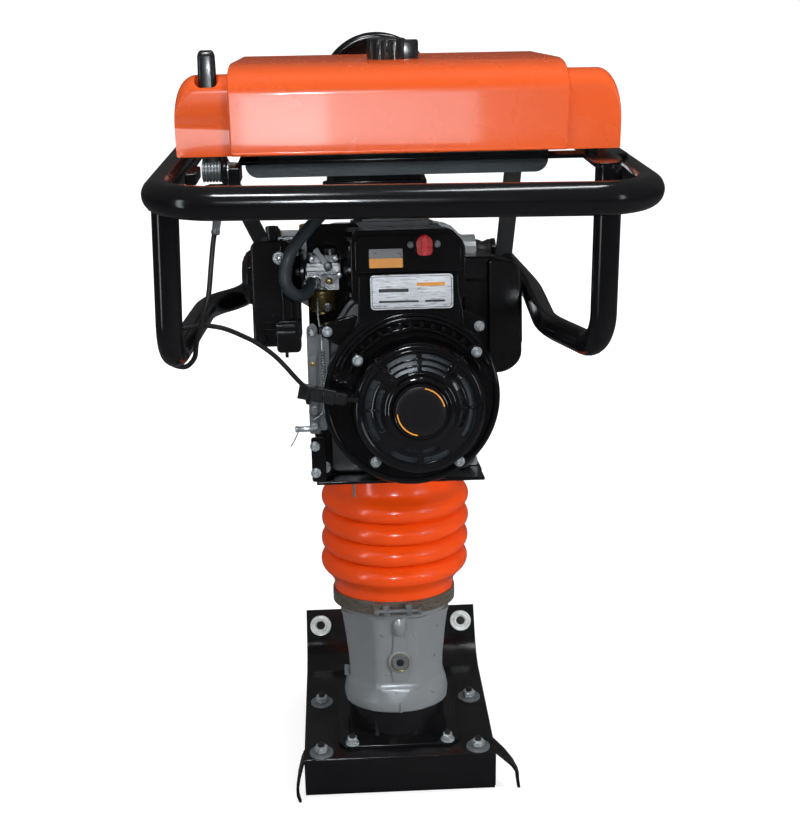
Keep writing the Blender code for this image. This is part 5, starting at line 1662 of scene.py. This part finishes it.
def build_tank():
    """Moulded cover: raised middle, an ear each side, a slot for the lever, the dark tank below."""
    low, high = world_box("tank_cover")
    front, rear, base = low.y + 0.0004, high.y, low.z + 0.0062
    rings = []
    ear_front = front + 0.0055
    for k in range(15):
        a = QUARTER * k / 14
        rings.append(ear_ring(ear_front + 0.026 * (1 - math.cos(a)), ear_front, 0.0))
    for k in range(1, 8):
        rings.append(ear_ring(ear_front + 0.026 + (rear - ear_front - 0.041) * k / 7, ear_front, 0.0))
    for k in range(1, 7):
        a = QUARTER * k / 6
        rings.append(ear_ring(rear - 0.015 + 0.0149 * math.sin(a), ear_front, 0.013 * (1 - math.cos(a))))
    throttle = Vector(JOINTS["throttle_turn"]["pos_m"])
    slot_y = (throttle.y - 0.0105, throttle.y + 0.095)
    slot = prism(box_outline((throttle.x - 0.012, throttle.x + 0.012), slot_y, 0.006, 5), 0.94, 1.07)
    piece(
        "tank_shell_ears", carve(loft(rings), slot), ORANGE_COVER, "handle", WORLD, angle=30,
        replaces=("tank_cover",),
    )
    crown = side_slab(cover_profile(front, rear - 0.0006, base, 1.0434, 1.0172), -0.1712, 0.1712)
    piece("tank_shell", crown, ORANGE_COVER, "handle", WORLD, bevel=0.0085, angle=50, segments=6)
    spot = Vector(JOINTS["fuel_cap_turn"]["pos_m"])
    boss = lathe([
        (0.0545, spot.z - 0.0095), (0.0525, spot.z - 0.006), (0.049, spot.z - 0.004),
        (0.044, spot.z - 0.0031),
        (0.03, spot.z - 0.0029),
    ], 72)
    boss.transform(Matrix.Translation((spot.x, spot.y, 0)))
    piece("filler_boss", boss, ORANGE_COVER, "handle", WORLD, angle=60)
    tank_low, tank_high = world_box("fuel_tank")
    outline = fillet([
        (tank_low.x, tank_low.z), (tank_high.x, tank_low.z), (tank_high.x, base + 0.002),
        (tank_low.x, base + 0.002),
    ], [0.0135, 0.0135, 0.001, 0.001], 8)
    slate = slab(outline, tank_low.y, tank_high.y)
    piece(
        "fuel_tank_base", slate, TANK_PLASTIC, "handle", WORLD, bevel=0.0045, segments=4,
        replaces=("fuel_tank",),
    )
    bracket = merged(
        prism(box_outline((-0.076, 0.03), (-0.402, -0.36), 0.004, 4), 0.917, 0.9215),
        block((-0.07, 0.024), (-0.398, -0.366), (0.9215, 0.9285)),
    )
    piece("tank_bracket", bracket, BLACK_PAINT, "handle", WORLD, bevel=0.001)
    for number, x in enumerate((-0.062, 0.016)):
        bolt = turned(flange_bolt(0.011, 0.006, 0.008, number), (0, 0, 0), (math.pi, 0, 0))
        piece(f"tank_bracket_bolt_{number}", bolt, ZINC, "handle", WORLD, 0.0003, at=(x, -0.382, 0.917))
    spots = ((0.2, -0.42), (0.205, -0.325), (-0.205, -0.325))
    feet = [turned(rod(0.0068, 0.011, 24, 0.001), (x, y, 0.9548)) for x, y in spots]
    piece("cover_feet", merged(*feet), RUBBER, "handle", WORLD)


def build_fuel_cap():
    """Tall filler cap with broad flutes and one raised grip lug."""
    spot = Vector(JOINTS["fuel_cap_turn"]["pos_m"])
    top = world_box("fuel_cap")[1].z - spot.z
    r = 0.0208
    rings = []
    steps, lobes = 168, 12
    shape = (
        (-0.0034, -0.0008, 0.0), (-0.0022, 0.0, 0.0016), (top - 0.003, 0.0, 0.0016),
        (top - 0.001, -0.0008, 0.001),
        (top - 0.0002, -0.0022, 0.0004), (top, -0.004, 0.0),
    )
    for z, grow, depth in shape:
        rim = []
        for i in range(steps):
            a = TAU * i / steps
            wave = depth * (max(0.0, math.cos(lobes * a)) ** 0.7 - 1.0)
            rim.append(((r + grow + wave) * math.cos(a) - 0.0072, (r + grow + wave) * math.sin(a), z))
        rings.append(rim)
    outline = box_outline((0.006, 0.0262), (-0.009, 0.009), 0.004, 5)
    lug = loft([
        [(x, y, -0.0032) for x, y in outline], [(x, y, top - 0.004) for x, y in outline],
        [(x * 0.97, y * 0.9, top - 0.0022) for x, y in outline],
    ])
    neck = turned(rod(0.016, 0.01, 40), (0, 0, -0.006))
    shell = merged(loft(rings), neck, lug)
    piece(
        "filler_cap_top", shell, CAP_PLASTIC, "filler_cap", WORLD, at=spot + Vector((-0.0015, 0, 0)),
        angle=48, replaces=("fuel_cap",),
    )


def build_lift_eye():
    """Bent bar arch with a dished plate inside it, bolted over the front tube."""
    low, high = world_box("lift_eye")
    cx, y = (low.x + high.x) / 2, -0.08
    bow_r, wire = high.z - 0.9836 - 0.0062, 0.0064
    arch = [
        (cx + bow_r * math.cos(math.pi * i / 40), y, 0.9836 + bow_r * math.sin(math.pi * i / 40))
        for i in range(41)
    ]
    path = [(cx + bow_r, y, low.z)] + arch + [(cx - bow_r, y, low.z)]
    foot = prism(
        box_outline((low.x + 0.001, high.x - 0.001), (y - 0.0145, y + 0.0155), 0.005, 4), low.z,
        low.z + 0.0047,
    )
    piece(
        "lift_bow", merged(sweep(path, wire, 24), foot), BLACK_PAINT, "handle", WORLD, angle=50,
        replaces=("lift_eye",),
    )
    rows = []
    for r, back in ((bow_r - 0.003, 0.0), (bow_r - 0.012, 0.003), (bow_r - 0.026, 0.005), (0.018, 0.005)):
        rows.append(
            [
                (
                    cx + r * math.cos(TAU * i / 64), y + back,
                    0.9836 + 0.022 * (1 - r / bow_r) + r * math.sin(TAU * i / 64),
                )
                for i in range(64)
            ]
        )
    web = piece("lift_web", loft(rows, caps=False), BLACK_PLASTIC, "handle", WORLD, angle=60)
    thick = web.modifiers.new("wall", "SOLIDIFY")
    thick.thickness = 0.004
    thick.offset = 0.0
    for side in (-1, 1):
        nut = stud_nut(0.012, 0.007, 0.0038, 0.009, 0.005, 0.4)
        piece(
            f"lift_nut_{'left' if side < 0 else 'right'}", nut, ZINC, "handle", WORLD, 0.0002,
            at=(cx + side * 0.04, y - 0.009, low.z + 0.0047), segments=2,
        )


# ---------------------------------------------------------------- controls on the handle


def build_throttle():
    """Broad finger through the cover's ear, its ribbed hub, housing and cable guide."""
    spot = Vector(JOINTS["throttle_turn"]["pos_m"])
    top = world_box("throttle_lever")[1].z - spot.z
    finger = []
    path = (
        (0.0, 0.002, 0.0062, 0.0092), (0.002, 0.03, 0.006, 0.0094), (0.005, 0.065, 0.0058, 0.0094),
        (0.008, 0.095, 0.0056, 0.0092), (0.0094, top - 0.006, 0.0052, 0.0088),
        (0.0098, top - 0.0024, 0.0044, 0.0078),
        (0.01, top - 0.0004, 0.0026, 0.0058),
    )
    for y, z, deep, wide in path:
        ring_points = []
        for k in range(32):
            a = TAU * k / 32
            c, s = math.cos(a), math.sin(a)
            ring_points.append(
                (wide * math.copysign(abs(c) ** 0.6, c), y + deep * math.copysign(abs(s) ** 0.6, s), z)
            )
        finger.append(ring_points)
    piece(
        "throttle_finger", loft(finger), CAP_PLASTIC, "throttle", WORLD, at=spot, angle=50,
        replaces=("throttle_lever",),
    )
    profile = [(0.0092, -0.0098)]
    for k in range(6):
        z = -0.0096 + 0.0032 * k
        profile += [(0.0113, z + 0.0004), (0.0113, z + 0.0022), (0.01, z + 0.0026), (0.01, z + 0.0031)]
    profile.append((0.0092, 0.0098))
    hub = turned(lathe(profile, 44), (0, 0, 0), (0, QUARTER, 0))
    piece("throttle_hub", hub, DULL_GREY, "throttle", WORLD, at=spot, angle=30)
    drum = turned(rod(0.0113, 0.005, 40, 0.001), (0.0135, 0, 0), (0, QUARTER, 0))
    guide = block((-0.005, 0.012), (-0.0062, 0.0062), (-0.04, -0.014))
    plate = block((0.011, 0.015), (-0.0075, 0.0075), (-0.03, 0.006))
    flare = block((-0.0085, 0.011), (-0.0072, 0.0072), (-0.025, -0.015))
    piece(
        "throttle_housing", merged(drum, guide, plate, flare), BLACK_PLASTIC, "handle", WORLD, at=spot,
        bevel=0.0012, replaces=("throttle_clamp",),
    )
    nut = merged(
        turned(hex_head(0.016, 0.0075, 0.2), (0, 0, 0.0015)), rod(0.0098, 0.0032, 32, 0.0006),
        turned(rod(0.0035, 0.006, 18, 0.0006), (0, 0, 0.01)),
    )
    piece(
        "throttle_nut", nut, ZINC, "handle", WORLD, 0.0004, at=spot + Vector((0.0165, 0, 0)),
        turn=(0, QUARTER, 0),
    )
    strap = merged(
        block((spot.x - 0.024, spot.x - 0.0125), (-0.47, -0.42), (0.932, 0.944)),
        block((spot.x + 0.0185, spot.x + 0.03), (-0.46, -0.42), (0.93, 0.947)),
    )
    piece("cable_stay", strap, BLACK_PAINT, "handle", WORLD, bevel=0.0016)
    dome = lathe([(0.0052, 0), (0.0051, 0.006), (0.004, 0.0085), (0.0018, 0.0096)], 32)
    piece("bar_plug", dome, BLACK_PLASTIC, "handle", WORLD, at=(-0.229, -0.498, 0.9385), angle=60)


def build_cable():
    """Throttle cable: ferrule under the lever, one turn round the left arm, then to the engine."""
    top = Vector((-0.1888, -0.4325, 0.896))
    ferrule = merged(
        lathe(
            [
                (0.0052, -0.003), (0.0052, 0.0008), (0.0044, 0.0012), (0.0044, 0.01), (0.004, 0.016),
                (0.0046, 0.0168), (0.0046, 0.0205), (0.003, 0.0215),
            ],
            28,
        ),
    )
    piece(
        "cable_ferrule", ferrule, DULL_GREY, "handle", WORLD, 0.0003, at=top,
        turn=(math.pi - 0.28, 0.16, 0), segments=2,
    )
    path = [
        (-0.1888, -0.4325, 0.894), (-0.1939, -0.44, 0.8719), (-0.1971, -0.448, 0.8482),
        (-0.201, -0.455, 0.818),
        (-0.2054, -0.458, 0.8023), (-0.2114, -0.458, 0.7819), (-0.217, -0.456, 0.7649),
        (-0.2202, -0.453, 0.749),
        (-0.229, -0.449, 0.7385), (-0.239, -0.4465, 0.7376), (-0.2492, -0.4435, 0.7426),
        (-0.2545, -0.44, 0.7545),
        (-0.2508, -0.436, 0.7657), (-0.241, -0.432, 0.7724), (-0.231, -0.427, 0.7745),
        (-0.2174, -0.421, 0.775),
        (-0.2031, -0.415, 0.7719), (-0.1886, -0.412, 0.7672), (-0.1702, -0.408, 0.7572),
        (-0.1569, -0.405, 0.7484),
        (-0.1371, -0.402, 0.731), (-0.1159, -0.4, 0.7047), (-0.1085, -0.394, 0.693),
        (-0.105, -0.38, 0.67),
    ]
    made = piece(
        "cable_sheath", sweep(smooth_path(path, 8), 0.0027, 16), RUBBER, None, WORLD, angle=60,
        replaces=("throttle_cable",),
    )
    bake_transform(made)


def build_fuel_tap():
    low, high = world_box("fuel_tap")
    centre = middle((low, high))
    parts = [
        turned(rod(0.01, high.z - low.z, 6, 0.0), (centre.x, centre.y, centre.z)),
        turned(rod(0.0088, 0.024, 32, 0.001), (centre.x, centre.y, centre.z - 0.002), (0, QUARTER, 0)),
        turned(
            rod(0.0046, 0.024, 24, 0.0008), (centre.x, low.y - 0.004, centre.z - 0.002), (QUARTER, 0, 0),
        ),
    ]
    piece("tap_body", merged(*parts), BRASS, "handle", WORLD, 0.0005, replaces=("fuel_tap",))
    spot = Vector(JOINTS["fuel_tap_turn"]["pos_m"])
    grip = fillet([(-0.023, -0.0036), (-0.002, -0.0028), (-0.002, 0.0028), (-0.023, 0.0036)], 0.0022, 4)
    lever = merged(
        prism(grip, -0.0032, -0.0002),
        turned(rod(0.0046, 0.004, 24, 0.0006), (-0.0026, 0, 0), (0, QUARTER, 0)),
    )
    piece(
        "tap_lever_grip", lever, RED_PLASTIC, "tap_lever", WORLD, at=spot, bevel=0.0005,
        replaces=("fuel_tap_lever",),
    )


# ---------------------------------------------------------------- finishes, shape helpers and stage


FINISHES = {
    "black_paint": BLACK_PAINT, "black_plastic": BLACK_PLASTIC, "black_rubber": RUBBER,
    "slate_rubber": SLATE_RUBBER,
    "orange_plastic": ORANGE_COVER, "orange_rubber": ORANGE_RUBBER, "cast_alloy": CAST, "zinc": ZINC,
    "brass": BRASS,
    "steel": STEEL, "wood": WOOD, "red_plastic": RED_PLASTIC, "silver_label": LABEL,
}


def repaint_all():
    """Every CAD node starts with the procedural finish of its record slot."""
    for made in frame["nodes"].values():
        for slot in made.material_slots:
            slot.material = FINISHES.get(slot.material.name.split(".")[0], BLACK_PAINT)
        made.data.shade_smooth()
        made.data.set_sharp_from_angle(angle=math.radians(32))


def carve(bm, *cutters):
    """Cut closed shapes out of a bmesh and hand back the result."""
    made = []
    for solid in (bm, *cutters):
        bmesh.ops.recalc_face_normals(solid, faces=solid.faces)
        mesh = bpy.data.meshes.new("carving")
        solid.to_mesh(mesh)
        solid.free()
        made.append(bpy.data.objects.new("carving", mesh))
        bpy.context.scene.collection.objects.link(made[-1])
    for tool in made[1:]:
        step = made[0].modifiers.new("cut", "BOOLEAN")
        step.operation = "DIFFERENCE"
        step.solver = "EXACT"
        step.object = tool
    bpy.context.view_layer.update()
    out = bmesh.new()
    out.from_mesh(made[0].evaluated_get(bpy.context.evaluated_depsgraph_get()).data)
    for tool in made:
        mesh = tool.data
        bpy.data.objects.remove(tool)
        bpy.data.meshes.remove(mesh)
    return out


def floor_look():
    """Pale floor: white with a soft contact shadow to the camera, dim in reflections."""
    made = surface(
        "pale_floor", (0.5, 0.5, 0.5), 0.85, mottle=(0.6, 0.02), specular=0.0, tint=(0.49, 0.49, 0.49),
    )
    tree = made.node_tree
    shader = tree.nodes["Principled BSDF"]
    path = node(tree, "ShaderNodeLightPath")
    away = node(tree, "ShaderNodeVectorMath", operation="LENGTH")
    tree.links.new(node(tree, "ShaderNodeTexCoord").outputs["Object"], away.inputs[0])
    glow = ramp(tree, away.outputs["Value"], 0.6, 2.2, 0.7, 1.0)
    tree.links.new(times(tree, glow, path.outputs["Is Camera Ray"]), shader.inputs["Emission Strength"])
    shader.inputs["Emission Color"].default_value = (1.0, 1.0, 1.0, 1.0)
    dim = node(tree, "ShaderNodeBsdfDiffuse")
    dim.inputs["Color"].default_value = (0.1, 0.1, 0.105, 1.0)
    mix = node(tree, "ShaderNodeMixShader")
    tree.links.new(path.outputs["Is Glossy Ray"], mix.inputs["Fac"])
    tree.links.new(shader.outputs["BSDF"], mix.inputs[1])
    tree.links.new(dim.outputs["BSDF"], mix.inputs[2])
    tree.links.new(mix.outputs["Shader"], tree.nodes["Material Output"].inputs["Surface"])
    return made


def studio_world():
    """White backdrop for the camera, soft grey fill for shading and a dark room in reflections."""
    made = bpy.data.worlds.new("studio")
    made.use_nodes = True
    tree = made.node_tree
    tree.nodes.clear()
    path = node(tree, "ShaderNodeLightPath")
    coords = node(tree, "ShaderNodeTexCoord")
    split = node(tree, "ShaderNodeSeparateXYZ")
    tree.links.new(coords.outputs["Generated"], split.inputs["Vector"])
    room = ramp(tree, split.outputs["Z"], -0.2, 1.0, 0.04, 0.16)
    levels = []
    for value in (1.0, 0.34):
        level = node(tree, "ShaderNodeBackground")
        level.inputs["Strength"].default_value = value
        level.inputs["Color"].default_value = (1.0, 1.0, 1.0, 1.0)
        levels.append(level)
    dark = node(tree, "ShaderNodeBackground")
    tree.links.new(room, dark.inputs["Strength"])
    first = node(tree, "ShaderNodeMixShader")
    tree.links.new(path.outputs["Is Glossy Ray"], first.inputs["Fac"])
    tree.links.new(levels[1].outputs["Background"], first.inputs[1])
    tree.links.new(dark.outputs["Background"], first.inputs[2])
    second = node(tree, "ShaderNodeMixShader")
    tree.links.new(path.outputs["Is Camera Ray"], second.inputs["Fac"])
    tree.links.new(first.outputs["Shader"], second.inputs[1])
    tree.links.new(levels[0].outputs["Background"], second.inputs[2])
    out = node(tree, "ShaderNodeOutputWorld")
    tree.links.new(second.outputs["Shader"], out.inputs["Surface"])
    return made


def cover_profile(front, rear, base, top, fold):
    """Side view of the cover as (y, z): upright front, crease, rolled crown, long fall to the rear."""
    rise = top - fold
    points = [
        (front + 0.0012, base), (front, base + 0.0016), (front, base + 0.004), (front, fold - 0.0012),
        (front, fold),
    ]
    for y, share in (
        (0.003, 0.3), (0.0085, 0.58), (0.018, 0.79), (0.03, 0.91), (0.044, 0.975), (0.06, 1.0),
    ):
        points.append((front + y, fold + rise * share))
    end = top - 0.0354 * (rear - front - 0.06)
    for k in range(6):
        a = QUARTER * k / 5
        points.append((rear - 0.012 + 0.012 * math.sin(a), end - 0.012 + 0.012 * math.cos(a)))
    return points + [(rear, base)]


def ear_ring(y, front, drop):
    """Cross-section of the lower ears at one place along the cover."""
    low, high = world_box("tank_cover")
    base = low.z + 0.0062
    reach = max(0.0, (front + 0.026 - y) / 0.026)
    top = 1.035 - 0.08 * max(0.0, y + 0.42) - 0.017 * (1 - math.sqrt(max(0.0, 1 - reach * reach))) - drop
    half = high.x
    points = [(half - 0.0014, base), (half, base + 0.0016)]
    for i in range(17):
        a = QUARTER * i / 16
        points.append((half - 0.0225 + 0.0225 * math.cos(a), top - 0.034 + 0.034 * math.sin(a)))
    points += [(0.17, top + 0.0002), (0.08, top + 0.0002)]
    section = points + [(-x, z) for x, z in reversed(points)]
    return [(x, y, z) for x, z in section]


def strip(sections, thick):
    """A thin curved tongue through (x, z, front y, back y) sections."""
    rings = []
    for x, z, front, back in sections:
        rings.append(
            [
                (x - thick / 2, front, z), (x + thick / 2, front, z), (x + thick / 2, back, z),
                (x - thick / 2, back, z),
            ]
        )
    return loft(rings)


def shoe_sheet():
    """Folded top sheet: front lip, flat and the turned-up toe at the back."""
    rear, top = -0.178, 0.065

    def toe(offset):
        r = 0.14 - offset
        line = []
        for i in range(15):
            a = math.radians(55.0) * i / 14
            line.append((0.06 + r * math.sin(a), 0.14 - r * math.cos(a)))
        y, z = line[-1]
        line.append((y + 0.045 * math.cos(math.radians(55.0)), z + 0.045 * math.sin(math.radians(55.0))))
        return line

    lip = [(rear, 0.009), (rear + 0.006, 0.009), (rear + 0.006, top - 0.006)]
    corner = [(rear + 0.004, top), (rear + 0.0012, top - 0.0012), (rear, top - 0.004)]
    return side_slab(lip + toe(top - 0.006) + toe(top)[::-1] + corner, -0.1375, 0.1375)


def arch(r, first, last, y, wire, cx, cz, steps=40):
    """A raised round bead following an arc about the crank axis."""
    path = []
    for k in range(steps + 1):
        a = math.radians(first + (last - first) * k / steps)
        path.append((cx + r * math.cos(a), y, cz + r * math.sin(a)))
    return sweep(path, wire, 12)


def link_lights():
    """Give three groups of mirror lights their own receivers, by the first material of each piece."""
    dull_black = (BLACK_PLASTIC, ENGINE_PAINT, BADGE_FILM)
    groups = (
        ("cover_reflections", ("low_front", "low_left"), lambda look: look == ORANGE_COVER),
        ("other_reflections", ("ceiling_lamp", "ceiling_bar"), lambda look: look != ORANGE_COVER),
        ("window_reflections", ("window",), lambda look: look not in dull_black),
    )
    for name, lights, chosen in groups:
        receivers = bpy.data.collections.new(name)
        for made in bpy.context.scene.objects:
            if made.type == "MESH" and made.data.materials and chosen(made.data.materials[0]):
                receivers.objects.link(made)
        for light in lights:
            bpy.data.objects[light].light_linking.receiver_collection = receivers


def area_light(name, at, aim, size, tall, power, colour=(1, 1, 1), mirror_only=False):
    """A softbox; the mirror-only ones exist in reflections and nowhere else."""
    data = bpy.data.lights.new(name, "AREA")
    data.energy = power
    data.color = colour
    data.shape = "RECTANGLE"
    data.size = size
    data.size_y = tall
    made = bpy.data.objects.new(name, data)
    bpy.context.scene.collection.objects.link(made)
    made.location = at
    made.rotation_euler = (Vector(aim) - Vector(at)).to_track_quat("-Z", "Y").to_euler()
    made.visible_camera = False
    made.visible_diffuse = not mirror_only
    made.visible_glossy = mirror_only


def build_stage():
    bm = bmesh.new()
    bmesh.ops.create_grid(bm, x_segments=1, y_segments=1, size=30)
    mesh = bpy.data.meshes.new("floor")
    bm.to_mesh(mesh)
    bm.free()
    floor = bpy.data.objects.new("floor", mesh)
    floor.location.z = -0.0005
    mesh.materials.append(floor_look())
    bpy.context.scene.collection.objects.link(floor)
    bpy.context.scene.world = studio_world()
    bpy.context.scene.view_settings.view_transform = "Standard"
    area_light("key_left", (-1.7, -1.9, 2.3), (0, -0.3, 0.7), 1.2, 1.2, 34, (0.97, 0.985, 1.0))
    area_light("fill_right", (2.0, -1.9, 1.3), (0, -0.3, 0.6), 0.7, 1.3, 30, (1.0, 0.99, 0.98))
    area_light("top_soft", (0.0, -0.4, 2.9), (0, -0.3, 0.6), 2.0, 1.4, 23)
    area_light("rear_soft", (0.6, 2.4, 2.0), (0, 0, 0.7), 1.4, 1.2, 22)
    cool = (0.66, 0.92, 1.0)
    area_light(
        "low_front", (-0.25, -3.2, 0.56), (-0.25, -0.4, 0.62), 1.25, 0.44, 11, cool, mirror_only=True,
    )
    area_light(
        "low_left", (-0.22, -3.15, 0.62), (-0.22, -0.4, 0.66), 0.26, 0.3, 2.4, cool, mirror_only=True,
    )
    area_light(
        "window", (-0.17, -3.0, 1.62), (-0.1, -0.4, 0.95), 0.13, 0.3, 22, (0.9, 0.94, 1.0),
        mirror_only=True,
    )
    area_light(
        "side_strip", (-1.9, -1.6, 0.9), (0, -0.4, 0.5), 0.3, 1.5, 7, (0.9, 0.95, 1.0), mirror_only=True,
    )
    area_light(
        "ceiling_lamp", (-0.35, -1.5, 2.7), (0, -0.3, 0.6), 0.35, 0.25, 16, (0.92, 0.95, 1.0),
        mirror_only=True,
    )
    area_light(
        "ceiling_bar", (0.5, -0.6, 2.9), (0, -0.3, 0.5), 1.1, 0.16, 14, (0.94, 0.97, 1.0),
        mirror_only=True,
    )
    area_light(
        "side_strip_right", (1.9, -2.2, 1.3), (0, -0.4, 0.5), 0.2, 0.9, 3, (0.9, 0.95, 1.0),
        mirror_only=True,
    )


def build_camera():
    data = bpy.data.cameras.new("camera")
    data.sensor_width = 36.0
    data.lens = 56.7
    made = bpy.data.objects.new("camera", data)
    facing = Euler((math.radians(70.67), 0, math.radians(-2.51))).to_matrix().to_4x4()
    roll = Matrix.Rotation(math.radians(-0.932), 4, "Z")
    made.matrix_world = Matrix.Translation((-0.0634, -1.7889, 1.1444)) @ facing @ roll
    bpy.context.scene.collection.objects.link(made)
    bpy.context.scene.camera = made


repaint_all()
build_shoe()
build_foot_casting()
build_leg()
band("lower_band", "lower_clamp", "foot", 0.188, 0.207)
band("upper_band", "upper_clamp", "power_unit", 0.393, 0.406)
for build in (
    build_bellows, build_shroud, build_starter, build_badge, build_grip, build_plates, build_switch,
    build_carburettor, build_float_bowl, build_air_cleaner, build_choke, build_governor,
    build_fuel_hose, build_muffler_guard, build_engine, build_engine_plate, build_crankcase,
    build_handle, build_strut_buffers, build_tank, build_fuel_cap, build_lift_eye, build_throttle,
    build_cable, build_fuel_tap, build_stage, link_lights, build_camera,
):
    build()
